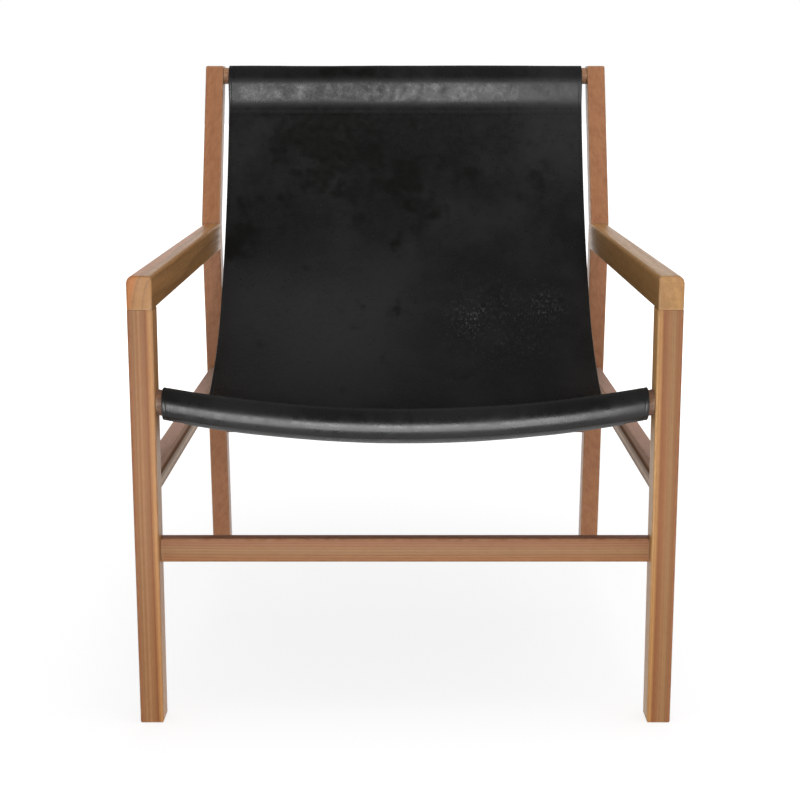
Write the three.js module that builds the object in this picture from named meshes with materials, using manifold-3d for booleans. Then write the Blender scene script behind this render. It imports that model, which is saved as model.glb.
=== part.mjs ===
// A lounge chair: a rigid timber frame that carries one sheet of leather as its seat and back.
// Millimetres, +Z up. The chair faces -Y, left is -X, and the floor is at Z = 0.
// While it is being made, Y = 0 is the front face of the front legs.
import * as THREE from "three";
import { mergeVertices } from "three/addons/utils/BufferGeometryUtils.js";
import Module from "manifold-3d";

const wasm = await Module();
wasm.setup();

// The whole chair
const OVERALL_WIDTH = 670;
const HALF_WIDTH = OVERALL_WIDTH / 2;
const JOINT_GAP = 0.3;
const CUT_OVERRUN = 1;
const MERGE_DISTANCE = 1e-4;

// Front legs, a little slimmer at the foot on the inner side
const LEG_WIDTH_AT_TOP = 31.5;
const LEG_WIDTH_AT_FOOT = 29.3;
const LEG_DEPTH = 35;
const EDGE_RADIUS = 2.4;
const EASED_EDGES = [EDGE_RADIUS, EDGE_RADIUS, EDGE_RADIUS, EDGE_RADIUS];
const LEG_TENON_WIDTH = 14;
const LEG_TENON_DEPTH = 20;
const LEG_TENON_LENGTH = 26;

// Armrests
const ARM_WIDTH = 31.5;
const ARM_HEIGHT = 41;
const ARM_TOP_HEIGHT = 568.2;
const ARM_OUTER_RADIUS = 9;
const ARM_INNER_RADIUS = 5;
const ARM_UNDER_RADIUS = 1.5;
const ARM_FRONT_RADIUS = 3;
const ARM_TENON_WIDTH = 12;
const ARM_TENON_HEIGHT = 25;
const ARM_TENON_LENGTH = 20;

// Rear posts, each one piece from foot to top with a bend at the armrest
const POST_WIDTH = 29.5;
const POST_DEPTH = 34;
const POST_FOOT_SETBACK = 775;
const POST_RAKE_DEGREES = 4.95;
const POST_RECLINE_DEGREES = 22.7;
const POST_BEND_HEIGHT = 569.5;
const POST_TOP_HEIGHT = 823;
const POST_BEND_SOFTNESS = 8;

// Side rails under the armrests
const SIDE_RAIL_THICKNESS = 20;
const SIDE_RAIL_HEIGHT = 35.5;
const SIDE_RAIL_TOP_HEIGHT = 324;
const SIDE_RAIL_INSET = 5;
const RAIL_TENON_WIDTH = 10;
const RAIL_TENON_HEIGHT = 24;
const RAIL_TENON_LENGTH = 20;

// Front and rear stretchers
const STRETCHER_HEIGHT = 30.5;
const STRETCHER_THICKNESS = 19;
const STRETCHER_TOP_HEIGHT = 238;
const FRONT_STRETCHER_SETBACK = 14.5;
const REAR_STRETCHER_SETBACK = 7.5;

// The round rails that carry the leather. The front one is bowed down in the middle.
const FRONT_RAIL_DIAMETER = 32;
const FRONT_RAIL_END_HEIGHT = 411;
const FRONT_RAIL_BOW = 28.5;
const TOP_RAIL_DIAMETER = 27;
const TOP_RAIL_DROP = 16.6;

// The leather
const LEATHER_EDGE_CLEARANCE = 9;
const LEATHER_THICKNESS = 3.4;
const FRONT_ROLL_CLEARANCE = 0.9;
const FRONT_ROLL_DROOP = 0.4;
const TOP_ROLL_CLEARANCE = 0.4;
const TOP_ROLL_FRONT_REACH = 23;
const TOP_ROLL_FRONT_FALL = 30;
const TOP_FOLD_RISE = 16;
const FLAP_GAP = 0.4;
const HEM_LENGTH = 13;

// Bolts, threaded inserts, plugs and locating pins
const BOLT_DIAMETER = 6;
const BOLT_HEAD_DIAMETER = 12;
const BOLT_HEAD_HEIGHT = 5;
const BOLT_REACH = 19;
const SOCKET_DIAMETER = 4.6;
const SOCKET_DEPTH = 2.8;
const PLUG_DIAMETER = 14;
const PLUG_THICKNESS = 5;
const PLUG_CROWN = 0.4;
const INSERT_DIAMETER = 10;
const INSERT_LENGTH = 15;
const INSERT_SETBACK = 1;
const PIN_DIAMETER = 6;
const PIN_LENGTH = 24;
const PIN_CHAMFER = 0.8;
const RAIL_PIN_OFFSET = 10.2;
const STRETCHER_BOLT_DROP = 4.5;
const STRETCHER_PIN_RISE = 8;

// Where the leather's upper surface lies at its side edges, from the front seam to the top seam.
// Each pair is a share of the run from front rail to top rail, and a share of the rise between them.
const SLING_PROFILE_SHARES = [
  [0.076, -0.046],
  [0.148, -0.114],
  [0.233, -0.168],
  [0.318, -0.209],
  [0.390, -0.234],
  [0.463, -0.231],
  [0.550, -0.186],
  [0.641, -0.099],
  [0.717, 0.009],
  [0.773, 0.134],
  [0.840, 0.306],
  [0.899, 0.511],
  [0.945, 0.716],
  [0.971, 0.860],
];
// The front rail's bow dies out of the leather between these shares of the run.
const BOW_FADE_START_SHARE = 0.14;
const BOW_FADE_END_SHARE = 0.88;

// How finely the curves are cut
const CORNER_STEPS = 3;
const END_ROUNDING_STEPS = 2;
const BEND_STEPS = 4;
const ROUND_RAIL_SIDES = 24;
const FRONT_RAIL_STATIONS = 13;
const SMALL_ROUND_SIDES = 16;
const SOCKET_SIDES = 6;
const SLING_STATIONS = 9;
const SLING_MAIN_STEPS = 27;
const FRONT_ROLL_STEPS = 12;
const TOP_ROLL_BACK_STEPS = 6;
const TOP_ROLL_FRONT_STEPS = 5;

// Finishes
const TEAK = { color: 0xa47856, roughness: 0.55, metalness: 0 };
const BLACK_LEATHER = { color: 0x232323, roughness: 0.45, metalness: 0 };
const ZINC = { color: 0x9a9c9f, roughness: 0.35, metalness: 1 };
const BRASS = { color: 0xb08d4a, roughness: 0.4, metalness: 1 };
const BEECH = { color: 0xc9a77a, roughness: 0.6, metalness: 0 };

// Derived places
const ARM_BOTTOM_HEIGHT = ARM_TOP_HEIGHT - ARM_HEIGHT;
const LEG_TOP_HEIGHT = ARM_BOTTOM_HEIGHT - JOINT_GAP;
const POST_RAKE = Math.tan(THREE.MathUtils.degToRad(POST_RAKE_DEGREES));
const POST_RECLINE = Math.tan(THREE.MathUtils.degToRad(POST_RECLINE_DEGREES));
const POST_BEND_Y = POST_FOOT_SETBACK - POST_RAKE * POST_BEND_HEIGHT;
const POST_INNER_X = HALF_WIDTH - POST_WIDTH;
const LEATHER_WIDTH = 2 * (POST_INNER_X - LEATHER_EDGE_CLEARANCE);
const SIDE_RAIL_OUTER_X = HALF_WIDTH - SIDE_RAIL_INSET;
const SIDE_RAIL_MIDDLE_X = SIDE_RAIL_OUTER_X - SIDE_RAIL_THICKNESS / 2;
const SIDE_RAIL_MIDDLE_HEIGHT = SIDE_RAIL_TOP_HEIGHT - SIDE_RAIL_HEIGHT / 2;
const STRETCHER_MIDDLE_HEIGHT = STRETCHER_TOP_HEIGHT - STRETCHER_HEIGHT / 2;
const FRONT_STRETCHER_Y = FRONT_STRETCHER_SETBACK + STRETCHER_THICKNESS / 2;
const REAR_STRETCHER_Y = lowerPostFrontY(STRETCHER_MIDDLE_HEIGHT) + REAR_STRETCHER_SETBACK
  + STRETCHER_THICKNESS / 2;
const FRONT_RAIL_Y = LEG_DEPTH / 2;
const FRONT_RAIL_HALF_SPAN = legInnerX(FRONT_RAIL_END_HEIGHT + FRONT_RAIL_DIAMETER / 2) - JOINT_GAP;
const TOP_RAIL_HEIGHT = POST_TOP_HEIGHT - TOP_RAIL_DROP;
const TOP_RAIL_Y = upperPostFrontY(TOP_RAIL_HEIGHT)
  + POST_DEPTH / 2 / Math.cos(THREE.MathUtils.degToRad(POST_RECLINE_DEGREES));
const TOP_RAIL_HALF_SPAN = POST_INNER_X - JOINT_GAP;

/** X of a front leg's inner face at a height. */
function legInnerX(height) {
  const width = THREE.MathUtils.lerp(LEG_WIDTH_AT_FOOT, LEG_WIDTH_AT_TOP, height / ARM_BOTTOM_HEIGHT);
  return HALF_WIDTH - width;
}

/** Y of a rear post's front face at a height below its bend. */
function lowerPostFrontY(height) {
  return POST_FOOT_SETBACK - POST_RAKE * height;
}

/** Y of a rear post's front face at a height above its bend. */
function upperPostFrontY(height) {
  return POST_BEND_Y + POST_RECLINE * (height - POST_BEND_HEIGHT);
}

/** How far the front rail's middle line lies below its ends at a distance from the centre. */
function railDrop(x) {
  const share = x / FRONT_RAIL_HALF_SPAN;
  return FRONT_RAIL_BOW * (1 - share * share);
}

// Shapes

/** The whole numbers from zero up to a count. */
function upTo(count) {
  return [...Array(count).keys()];
}

/** Points round a rectangle with rounded corners, one radius for each corner, drawn in by inset. */
function roundedRing(low, high, radii, inset) {
  const corners = [
    [low[0], low[1], 1, 1, Math.PI],
    [high[0], low[1], -1, 1, Math.PI * 1.5],
    [high[0], high[1], -1, -1, 0],
    [low[0], high[1], 1, -1, Math.PI / 2],
  ];
  return corners.flatMap(([x, y, inwardX, inwardY, start], corner) => {
    const radius = Math.max(radii[corner], inset);
    const reach = radius - inset;
    return upTo(CORNER_STEPS + 1).map((step) => {
      const angle = start + (Math.PI / 2) * (step / CORNER_STEPS);
      return [
        x + inwardX * radius + reach * Math.cos(angle),
        y + inwardY * radius + reach * Math.sin(angle),
      ];
    });
  });
}

/** Points round a circle in a plane. */
function circleRing(centre, radius, sides) {
  return upTo(sides).map((side) => {
    const angle = (2 * Math.PI * side) / sides;
    return [centre[0] + radius * Math.cos(angle), centre[1] + radius * Math.sin(angle)];
  });
}

/** Pairs of [distance from an end, inset] that round an end off by a radius. */
function endRounding(radius) {
  return upTo(END_ROUNDING_STEPS + 1).map((step) => {
    const angle = (Math.PI / 2) * (step / END_ROUNDING_STEPS);
    return [radius * (1 - Math.sin(angle)), radius * (1 - Math.cos(angle))];
  }).reverse();
}

/** A closed solid through rings of points, each ring with as many points as the next. */
function loft(rings) {
  const count = rings[0].length;
  const geometry = new THREE.BufferGeometry().setFromPoints(rings.flat());
  const index = [];
  for (let ring = 0; ring < rings.length - 1; ring += 1) {
    for (let point = 0; point < count; point += 1) {
      const a = ring * count + point;
      const b = ring * count + ((point + 1) % count);
      index.push(a, b, b + count, a, b + count, a + count);
    }
  }
  const last = (rings.length - 1) * count;
  for (let point = 1; point < count - 1; point += 1) {
    index.push(0, point + 1, point);
    index.push(last, last + point, last + point + 1);
  }
  geometry.setIndex(index);
  return facingOut(geometry);
}

/** Six times the volume that a closed mesh holds, negative when its faces point in. */
function signedVolume(geometry) {
  const position = geometry.getAttribute("position");
  const index = geometry.getIndex();
  const [a, b, c] = [new THREE.Vector3(), new THREE.Vector3(), new THREE.Vector3()];
  let sum = 0;
  for (let corner = 0; corner < index.count; corner += 3) {
    a.fromBufferAttribute(position, index.getX(corner));
    b.fromBufferAttribute(position, index.getX(corner + 1));
    c.fromBufferAttribute(position, index.getX(corner + 2));
    sum += a.dot(b.cross(c));
  }
  return sum;
}

/** The same mesh with its faces pointing out. */
function facingOut(geometry) {
  if (signedVolume(geometry) < 0) {
    geometry.getIndex().array.reverse();
  }
  return geometry;
}

/** A box between two corners. */
function box(low, high) {
  const size = new THREE.Vector3().subVectors(high, low);
  const geometry = new THREE.BoxGeometry(size.x, size.y, size.z);
  geometry.translate(low.x + size.x / 2, low.y + size.y / 2, low.z + size.z / 2);
  return geometry;
}

/** A round bar along X at [y, z], through pairs of [x, radius]. */
function roundBar(stations, centre, sides) {
  return loft(stations.map(([x, radius]) => (
    circleRing(centre, radius, sides).map(([y, z]) => new THREE.Vector3(x, y, z))
  )));
}

/** The mirror image of a mesh on the other side of the chair. */
function mirrored(geometry) {
  const copy = geometry.clone();
  copy.scale(-1, 1, 1);
  return facingOut(copy);
}

// Joining and cutting

/** A closed mesh as a solid that can be joined and cut. */
function solidOf(geometry) {
  const bare = geometry.clone();
  bare.deleteAttribute("normal");
  bare.deleteAttribute("uv");
  const merged = mergeVertices(bare, MERGE_DISTANCE);
  return new wasm.Manifold(new wasm.Mesh({
    numProp: 3,
    vertProperties: new Float32Array(merged.getAttribute("position").array),
    triVerts: new Uint32Array(merged.getIndex().array),
  }));
}

/** A mesh with others joined to it and then others cut from it. */
function worked(geometry, additions, cutters) {
  let solid = solidOf(geometry);
  additions.forEach((addition) => {
    solid = solid.add(solidOf(addition));
  });
  cutters.forEach((cutter) => {
    solid = solid.subtract(solidOf(cutter));
  });
  const mesh = solid.getMesh();
  const result = new THREE.BufferGeometry();
  result.setAttribute("position", new THREE.BufferAttribute(mesh.vertProperties, 3));
  result.setIndex(new THREE.BufferAttribute(mesh.triVerts, 1));
  return result;
}

// Tenons: each is a box centred on [a, b] across the joint, and its mortise is the same box
// grown by the joint gap.

/** The leg's tenon, standing up into the armrest. */
function legTenon(grow) {
  const x = HALF_WIDTH - ARM_WIDTH / 2;
  const y = LEG_DEPTH / 2;
  return box(
    new THREE.Vector3(x - LEG_TENON_WIDTH / 2 - grow, y - LEG_TENON_DEPTH / 2 - grow,
      LEG_TOP_HEIGHT - CUT_OVERRUN),
    new THREE.Vector3(x + LEG_TENON_WIDTH / 2 + grow, y + LEG_TENON_DEPTH / 2 + grow,
      LEG_TOP_HEIGHT + LEG_TENON_LENGTH + grow),
  );
}

/** The armrest's tenon, reaching back into the rear post. */
function armTenon(grow) {
  const x = HALF_WIDTH - ARM_WIDTH / 2;
  const z = ARM_TOP_HEIGHT - ARM_HEIGHT / 2;
  const face = lowerPostFrontY(z);
  return box(
    new THREE.Vector3(x - ARM_TENON_WIDTH / 2 - grow, face - ARM_TENON_LENGTH / 2,
      z - ARM_TENON_HEIGHT / 2 - grow),
    new THREE.Vector3(x + ARM_TENON_WIDTH / 2 + grow, face + ARM_TENON_LENGTH + grow,
      z + ARM_TENON_HEIGHT / 2 + grow),
  );
}

/** A side rail's tenon, from y to another y. */
function railTenon(startY, endY, grow) {
  return box(
    new THREE.Vector3(SIDE_RAIL_MIDDLE_X - RAIL_TENON_WIDTH / 2 - grow, startY,
      SIDE_RAIL_MIDDLE_HEIGHT - RAIL_TENON_HEIGHT / 2 - grow),
    new THREE.Vector3(SIDE_RAIL_MIDDLE_X + RAIL_TENON_WIDTH / 2 + grow, endY,
      SIDE_RAIL_MIDDLE_HEIGHT + RAIL_TENON_HEIGHT / 2 + grow),
  );
}

/** The side rail's front tenon, in the leg. */
function railFrontTenon(grow) {
  return railTenon(LEG_DEPTH - RAIL_TENON_LENGTH - grow, LEG_DEPTH + RAIL_TENON_LENGTH / 2, grow);
}

/** The side rail's rear tenon, in the post. */
function railRearTenon(grow) {
  const face = lowerPostFrontY(SIDE_RAIL_MIDDLE_HEIGHT);
  return railTenon(face - RAIL_TENON_LENGTH / 2, face + RAIL_TENON_LENGTH + grow, grow);
}

// Fastenings: each has the point [y, z] of its axis and the X of the face that a rail's end meets.

const FRONT_RAIL_JOINT = {
  centre: [FRONT_RAIL_Y, FRONT_RAIL_END_HEIGHT],
  endX: FRONT_RAIL_HALF_SPAN,
  pinCentre: [FRONT_RAIL_Y, FRONT_RAIL_END_HEIGHT + RAIL_PIN_OFFSET],
};
const TOP_RAIL_JOINT = {
  centre: [TOP_RAIL_Y, TOP_RAIL_HEIGHT],
  endX: TOP_RAIL_HALF_SPAN,
};
const FRONT_STRETCHER_JOINT = {
  centre: [FRONT_STRETCHER_Y, STRETCHER_MIDDLE_HEIGHT - STRETCHER_BOLT_DROP],
  endX: legInnerX(STRETCHER_TOP_HEIGHT) - JOINT_GAP,
  pinCentre: [FRONT_STRETCHER_Y, STRETCHER_MIDDLE_HEIGHT + STRETCHER_PIN_RISE],
};
const REAR_STRETCHER_JOINT = {
  centre: [REAR_STRETCHER_Y, STRETCHER_MIDDLE_HEIGHT - STRETCHER_BOLT_DROP],
  endX: POST_INNER_X - JOINT_GAP,
  pinCentre: [REAR_STRETCHER_Y, STRETCHER_MIDDLE_HEIGHT + STRETCHER_PIN_RISE],
};

/** X of the face that a bolt's head bears on, inside its counterbore. */
const HEAD_SEAT_X = HALF_WIDTH - PLUG_THICKNESS - BOLT_HEAD_HEIGHT - 2 * JOINT_GAP;

/** The holes that a bolt, its plug and a pin need in a leg or post. */
function uprightHoles(joint) {
  const outside = HALF_WIDTH + CUT_OVERRUN;
  const inside = joint.endX - CUT_OVERRUN;
  const wide = PLUG_DIAMETER / 2 + JOINT_GAP;
  const narrow = BOLT_DIAMETER / 2 + JOINT_GAP;
  const holes = [
    roundBar([[HEAD_SEAT_X - JOINT_GAP, wide], [outside, wide]], joint.centre, SMALL_ROUND_SIDES),
    roundBar([[inside, narrow], [outside, narrow]], joint.centre, SMALL_ROUND_SIDES),
  ];
  if (joint.pinCentre) {
    const depth = joint.endX + PIN_LENGTH / 2 + JOINT_GAP;
    const radius = PIN_DIAMETER / 2 + JOINT_GAP;
    holes.push(roundBar([[inside, radius], [depth, radius]], joint.pinCentre, SMALL_ROUND_SIDES));
  }
  return holes;
}

/** The holes that a bolt, its insert and a pin need in the right-hand end of a rail. */
function railHoles(joint) {
  const outside = joint.endX + CUT_OVERRUN;
  const insertDepth = joint.endX - INSERT_SETBACK - INSERT_LENGTH - JOINT_GAP;
  const boltDepth = joint.endX - BOLT_REACH - JOINT_GAP;
  const wide = INSERT_DIAMETER / 2 + JOINT_GAP;
  const narrow = BOLT_DIAMETER / 2 + JOINT_GAP;
  const holes = [
    roundBar([[insertDepth, wide], [outside, wide]], joint.centre, SMALL_ROUND_SIDES),
    roundBar([[boltDepth, narrow], [outside, narrow]], joint.centre, SMALL_ROUND_SIDES),
  ];
  if (joint.pinCentre) {
    const depth = joint.endX - PIN_LENGTH / 2 - JOINT_GAP;
    const radius = PIN_DIAMETER / 2 + JOINT_GAP;
    holes.push(roundBar([[depth, radius], [outside, radius]], joint.pinCentre, SMALL_ROUND_SIDES));
  }
  return holes;
}

/** The holes for both ends of a rail. */
function bothEndHoles(joint) {
  const right = railHoles(joint);
  return [...right, ...right.map(mirrored)];
}

/** A socket-head bolt on the right-hand side. */
function bolt(joint) {
  const tip = joint.endX - BOLT_REACH;
  const headEnd = HEAD_SEAT_X + BOLT_HEAD_HEIGHT;
  const shank = BOLT_DIAMETER / 2;
  const head = BOLT_HEAD_DIAMETER / 2;
  const body = roundBar(
    [[tip, shank], [HEAD_SEAT_X, shank], [HEAD_SEAT_X, head], [headEnd, head]],
    joint.centre,
    SMALL_ROUND_SIDES,
  );
  const socket = roundBar(
    [[headEnd - SOCKET_DEPTH, SOCKET_DIAMETER / 2], [headEnd + CUT_OVERRUN, SOCKET_DIAMETER / 2]],
    joint.centre,
    SOCKET_SIDES,
  );
  return worked(body, [], [socket]);
}

/** A threaded insert in the right-hand end of a rail. */
function insert(joint) {
  const outer = joint.endX - INSERT_SETBACK;
  const inner = outer - INSERT_LENGTH;
  const radius = INSERT_DIAMETER / 2;
  const bore = BOLT_DIAMETER / 2 + JOINT_GAP;
  return worked(
    roundBar([[inner, radius], [outer, radius]], joint.centre, SMALL_ROUND_SIDES),
    [],
    [roundBar([[inner - CUT_OVERRUN, bore], [outer + CUT_OVERRUN, bore]], joint.centre,
      SMALL_ROUND_SIDES)],
  );
}

/** A wooden plug that closes a bolt's counterbore, very slightly crowned. */
function plug(joint) {
  const radius = PLUG_DIAMETER / 2;
  const face = HALF_WIDTH - PLUG_CROWN;
  return roundBar(
    [[HALF_WIDTH - PLUG_THICKNESS, radius], [face, radius], [HALF_WIDTH, radius - PLUG_CROWN]],
    joint.centre,
    SMALL_ROUND_SIDES,
  );
}

/** A locating pin, half in the upright and half in the rail's end. */
function pin(joint) {
  const low = joint.endX - PIN_LENGTH / 2;
  const high = joint.endX + PIN_LENGTH / 2;
  const radius = PIN_DIAMETER / 2;
  return roundBar(
    [[low, radius - PIN_CHAMFER], [low + PIN_CHAMFER, radius],
      [high - PIN_CHAMFER, radius], [high, radius - PIN_CHAMFER]],
    joint.pinCentre,
    SMALL_ROUND_SIDES,
  );
}

// Timber

/** The right front leg: foot on the floor, tenon up into the armrest. */
function frontLeg() {
  const stations = [
    ...endRounding(EDGE_RADIUS),
    [LEG_TOP_HEIGHT, 0],
  ];
  const rings = stations.map(([height, inset]) => (
    roundedRing([legInnerX(height), 0], [HALF_WIDTH, LEG_DEPTH], EASED_EDGES, inset)
      .map(([x, y]) => new THREE.Vector3(x, y, height))
  ));
  return worked(loft(rings), [legTenon(0)], [
    railFrontTenon(JOINT_GAP),
    ...uprightHoles(FRONT_RAIL_JOINT),
    ...uprightHoles(FRONT_STRETCHER_JOINT),
  ]);
}

/** The right armrest: over the leg in front, against the post behind. */
function armrest() {
  const radii = [ARM_UNDER_RADIUS, ARM_UNDER_RADIUS, ARM_OUTER_RADIUS, ARM_INNER_RADIUS];
  const low = [HALF_WIDTH - ARM_WIDTH, ARM_BOTTOM_HEIGHT];
  const high = [HALF_WIDTH, ARM_TOP_HEIGHT];
  // The front end is rounded all round but at the bottom, which stays flush with the leg.
  const rings = endRounding(ARM_FRONT_RADIUS).map(([y, inset]) => (
    roundedRing([low[0], low[1] - inset], high, radii, inset)
      .map(([x, z]) => new THREE.Vector3(x, y, z))
  ));
  rings.push(roundedRing(low, high, radii, 0).map(([x, z]) => (
    new THREE.Vector3(x, lowerPostFrontY(z) - JOINT_GAP, z)
  )));
  return worked(loft(rings), [armTenon(0)], [legTenon(JOINT_GAP)]);
}

/** Points along a rear post's front edge: [y, z], with the unit normal pointing back. */
function postSpine() {
  const rake = THREE.MathUtils.degToRad(POST_RAKE_DEGREES);
  const recline = THREE.MathUtils.degToRad(POST_RECLINE_DEGREES);
  const corner = new THREE.Vector2(POST_BEND_Y, POST_BEND_HEIGHT);
  const below = new THREE.Vector2(Math.sin(rake), -Math.cos(rake));
  const above = new THREE.Vector2(Math.sin(recline), Math.cos(recline));
  const curve = new THREE.QuadraticBezierCurve(
    corner.clone().addScaledVector(below, POST_BEND_SOFTNESS),
    corner,
    corner.clone().addScaledVector(above, POST_BEND_SOFTNESS),
  );
  return upTo(BEND_STEPS + 1).map((step) => {
    const share = step / BEND_STEPS;
    const tangent = curve.getTangent(share);
    return { point: curve.getPoint(share), back: new THREE.Vector2(tangent.y, -tangent.x) };
  });
}

/** The right rear post: raked leg, bend, and reclined back post. */
function rearPost() {
  const low = [POST_INNER_X, 0];
  const high = [HALF_WIDTH, POST_DEPTH];
  const level = (frontY, leanDegrees) => ([height, inset]) => (
    roundedRing(low, high, EASED_EDGES, inset).map(([x, depth]) => new THREE.Vector3(
      x,
      frontY(height) + depth / Math.cos(THREE.MathUtils.degToRad(leanDegrees)),
      height,
    ))
  );
  const footRings = endRounding(EDGE_RADIUS).map(level(lowerPostFrontY, POST_RAKE_DEGREES));
  const bendRings = postSpine().map(({ point, back }) => (
    roundedRing(low, high, EASED_EDGES, 0).map(([x, depth]) => (
      new THREE.Vector3(x, point.x + back.x * depth, point.y + back.y * depth)
    ))
  ));
  const topRings = endRounding(EDGE_RADIUS)
    .map(([distance, inset]) => [POST_TOP_HEIGHT - distance, inset])
    .reverse()
    .map(level(upperPostFrontY, POST_RECLINE_DEGREES));
  return worked(loft([...footRings, ...bendRings, ...topRings]), [], [
    armTenon(JOINT_GAP),
    railRearTenon(JOINT_GAP),
    ...uprightHoles(TOP_RAIL_JOINT),
    ...uprightHoles(REAR_STRETCHER_JOINT),
  ]);
}

/** The right side rail, between the leg's back and the post's front. */
function sideRail() {
  const ring = roundedRing(
    [SIDE_RAIL_OUTER_X - SIDE_RAIL_THICKNESS, SIDE_RAIL_TOP_HEIGHT - SIDE_RAIL_HEIGHT],
    [SIDE_RAIL_OUTER_X, SIDE_RAIL_TOP_HEIGHT],
    EASED_EDGES,
    0,
  );
  const front = ring.map(([x, z]) => new THREE.Vector3(x, LEG_DEPTH + JOINT_GAP, z));
  const back = ring.map(([x, z]) => new THREE.Vector3(x, lowerPostFrontY(z) - JOINT_GAP, z));
  return worked(loft([front, back]), [railFrontTenon(0), railRearTenon(0)], []);
}

/** A stretcher between two uprights. */
function stretcher(joint) {
  const middleY = joint.centre[0];
  const ring = roundedRing(
    [middleY - STRETCHER_THICKNESS / 2, STRETCHER_TOP_HEIGHT - STRETCHER_HEIGHT],
    [middleY + STRETCHER_THICKNESS / 2, STRETCHER_TOP_HEIGHT],
    EASED_EDGES,
    0,
  );
  const rings = [-joint.endX, joint.endX].map((x) => (
    ring.map(([y, z]) => new THREE.Vector3(x, y, z))
  ));
  return worked(loft(rings), [], bothEndHoles(joint));
}

/** The bowed round rail that the front of the leather goes round. */
function frontSlingRail() {
  const rings = upTo(FRONT_RAIL_STATIONS).map((station) => {
    const x = FRONT_RAIL_HALF_SPAN * (2 * (station / (FRONT_RAIL_STATIONS - 1)) - 1);
    const centre = [FRONT_RAIL_Y, FRONT_RAIL_END_HEIGHT - railDrop(x)];
    return circleRing(centre, FRONT_RAIL_DIAMETER / 2, ROUND_RAIL_SIDES)
      .map(([y, z]) => new THREE.Vector3(x, y, z));
  });
  return worked(loft(rings), [], bothEndHoles(FRONT_RAIL_JOINT));
}

/** The straight round rail at the top of the back. */
function topSlingRail() {
  const radius = TOP_RAIL_DIAMETER / 2;
  const bar = roundBar(
    [[-TOP_RAIL_HALF_SPAN, radius], [TOP_RAIL_HALF_SPAN, radius]],
    TOP_RAIL_JOINT.centre,
    ROUND_RAIL_SIDES,
  );
  return worked(bar, [], bothEndHoles(TOP_RAIL_JOINT));
}

// Leather

/** The leather's upper surface at its side edges, from the front seam to the top seam. */
function slingProfile() {
  const run = TOP_RAIL_Y - FRONT_RAIL_Y;
  const rise = TOP_RAIL_HEIGHT - FRONT_RAIL_END_HEIGHT;
  return new THREE.SplineCurve(SLING_PROFILE_SHARES.map(([along, up]) => (
    new THREE.Vector2(FRONT_RAIL_Y + along * run, FRONT_RAIL_END_HEIGHT + up * rise)
  )));
}

/** The angle at which a line from a point touches a circle; turn is 1 or -1 for its two sides. */
function touchAngle(point, centre, radius, turn) {
  const toPoint = new THREE.Vector2().subVectors(point, centre);
  return toPoint.angle() + turn * Math.acos(radius / toPoint.length());
}

/** Points on a circle, turning left from one angle to another. */
function arcPoints(centre, radius, from, to, steps) {
  const sweep = THREE.MathUtils.euclideanModulo(to - from, 2 * Math.PI);
  return upTo(steps + 1).map((step) => {
    const angle = from + sweep * (step / steps);
    return new THREE.Vector2(
      centre.x + radius * Math.cos(angle),
      centre.y + radius * Math.sin(angle),
    );
  });
}

/** The flap's outer surface under the sheet at a seam: the seam's end first, then the hem's end. */
function flapPoints(profile, atEnd) {
  const offset = 2 * LEATHER_THICKNESS + FLAP_GAP;
  const hemShare = HEM_LENGTH / profile.getLength();
  const shares = atEnd ? [1, 1 - hemShare] : [0, hemShare];
  return shares.map((share) => {
    const tangent = profile.getTangentAt(share);
    const under = new THREE.Vector2(tangent.y, -tangent.x);
    return profile.getPointAt(share).addScaledVector(under, offset);
  });
}

/** The leather's outer surface at its side edges, from the end of the top hem to the front hem's. */
function slingPath() {
  const profile = slingProfile();
  const main = profile.getSpacedPoints(SLING_MAIN_STEPS).reverse();
  const topCentre = new THREE.Vector2(TOP_RAIL_Y, TOP_RAIL_HEIGHT);
  const topRadius = TOP_RAIL_DIAMETER / 2 + TOP_ROLL_CLEARANCE + LEATHER_THICKNESS;
  const [topFlap, topHem] = flapPoints(profile, true);
  const topBackArc = arcPoints(
    topCentre,
    topRadius,
    touchAngle(topFlap, topCentre, topRadius, 1),
    Math.PI / 2,
    TOP_ROLL_BACK_STEPS,
  );
  // In front the loop stands off the rail: a quarter ellipse from its highest point, then a straight
  // stretch down to the fold above the seam.
  const topFrontArc = new THREE.EllipseCurve(
    topCentre.x,
    topCentre.y + topRadius - TOP_ROLL_FRONT_FALL,
    TOP_ROLL_FRONT_REACH,
    TOP_ROLL_FRONT_FALL,
    Math.PI / 2,
    Math.PI,
  ).getPoints(TOP_ROLL_FRONT_STEPS).slice(1);
  const fold = main[0].clone().addScaledVector(profile.getTangentAt(1), TOP_FOLD_RISE);
  const frontCentre = new THREE.Vector2(
    FRONT_RAIL_Y,
    FRONT_RAIL_END_HEIGHT - railDrop(LEATHER_WIDTH / 2) - FRONT_ROLL_DROOP,
  );
  const frontRadius = FRONT_RAIL_DIAMETER / 2 + FRONT_ROLL_CLEARANCE + LEATHER_THICKNESS;
  const [frontFlap, frontHem] = flapPoints(profile, false);
  const frontArc = arcPoints(
    frontCentre,
    frontRadius,
    touchAngle(main[main.length - 1], frontCentre, frontRadius, 1),
    touchAngle(frontFlap, frontCentre, frontRadius, -1),
    FRONT_ROLL_STEPS,
  );
  return [
    topHem, topFlap, ...topBackArc, ...topFrontArc, fold, ...main, ...frontArc, frontFlap, frontHem,
  ];
}

/** How far the leather's middle hangs lower than its side edges at a place on the path. */
function slingDrop(x, y) {
  const share = (y - FRONT_RAIL_Y) / (TOP_RAIL_Y - FRONT_RAIL_Y);
  const fade = 1 - THREE.MathUtils.smoothstep(share, BOW_FADE_START_SHARE, BOW_FADE_END_SHARE);
  return (railDrop(x) - railDrop(LEATHER_WIDTH / 2)) * fade;
}

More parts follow.
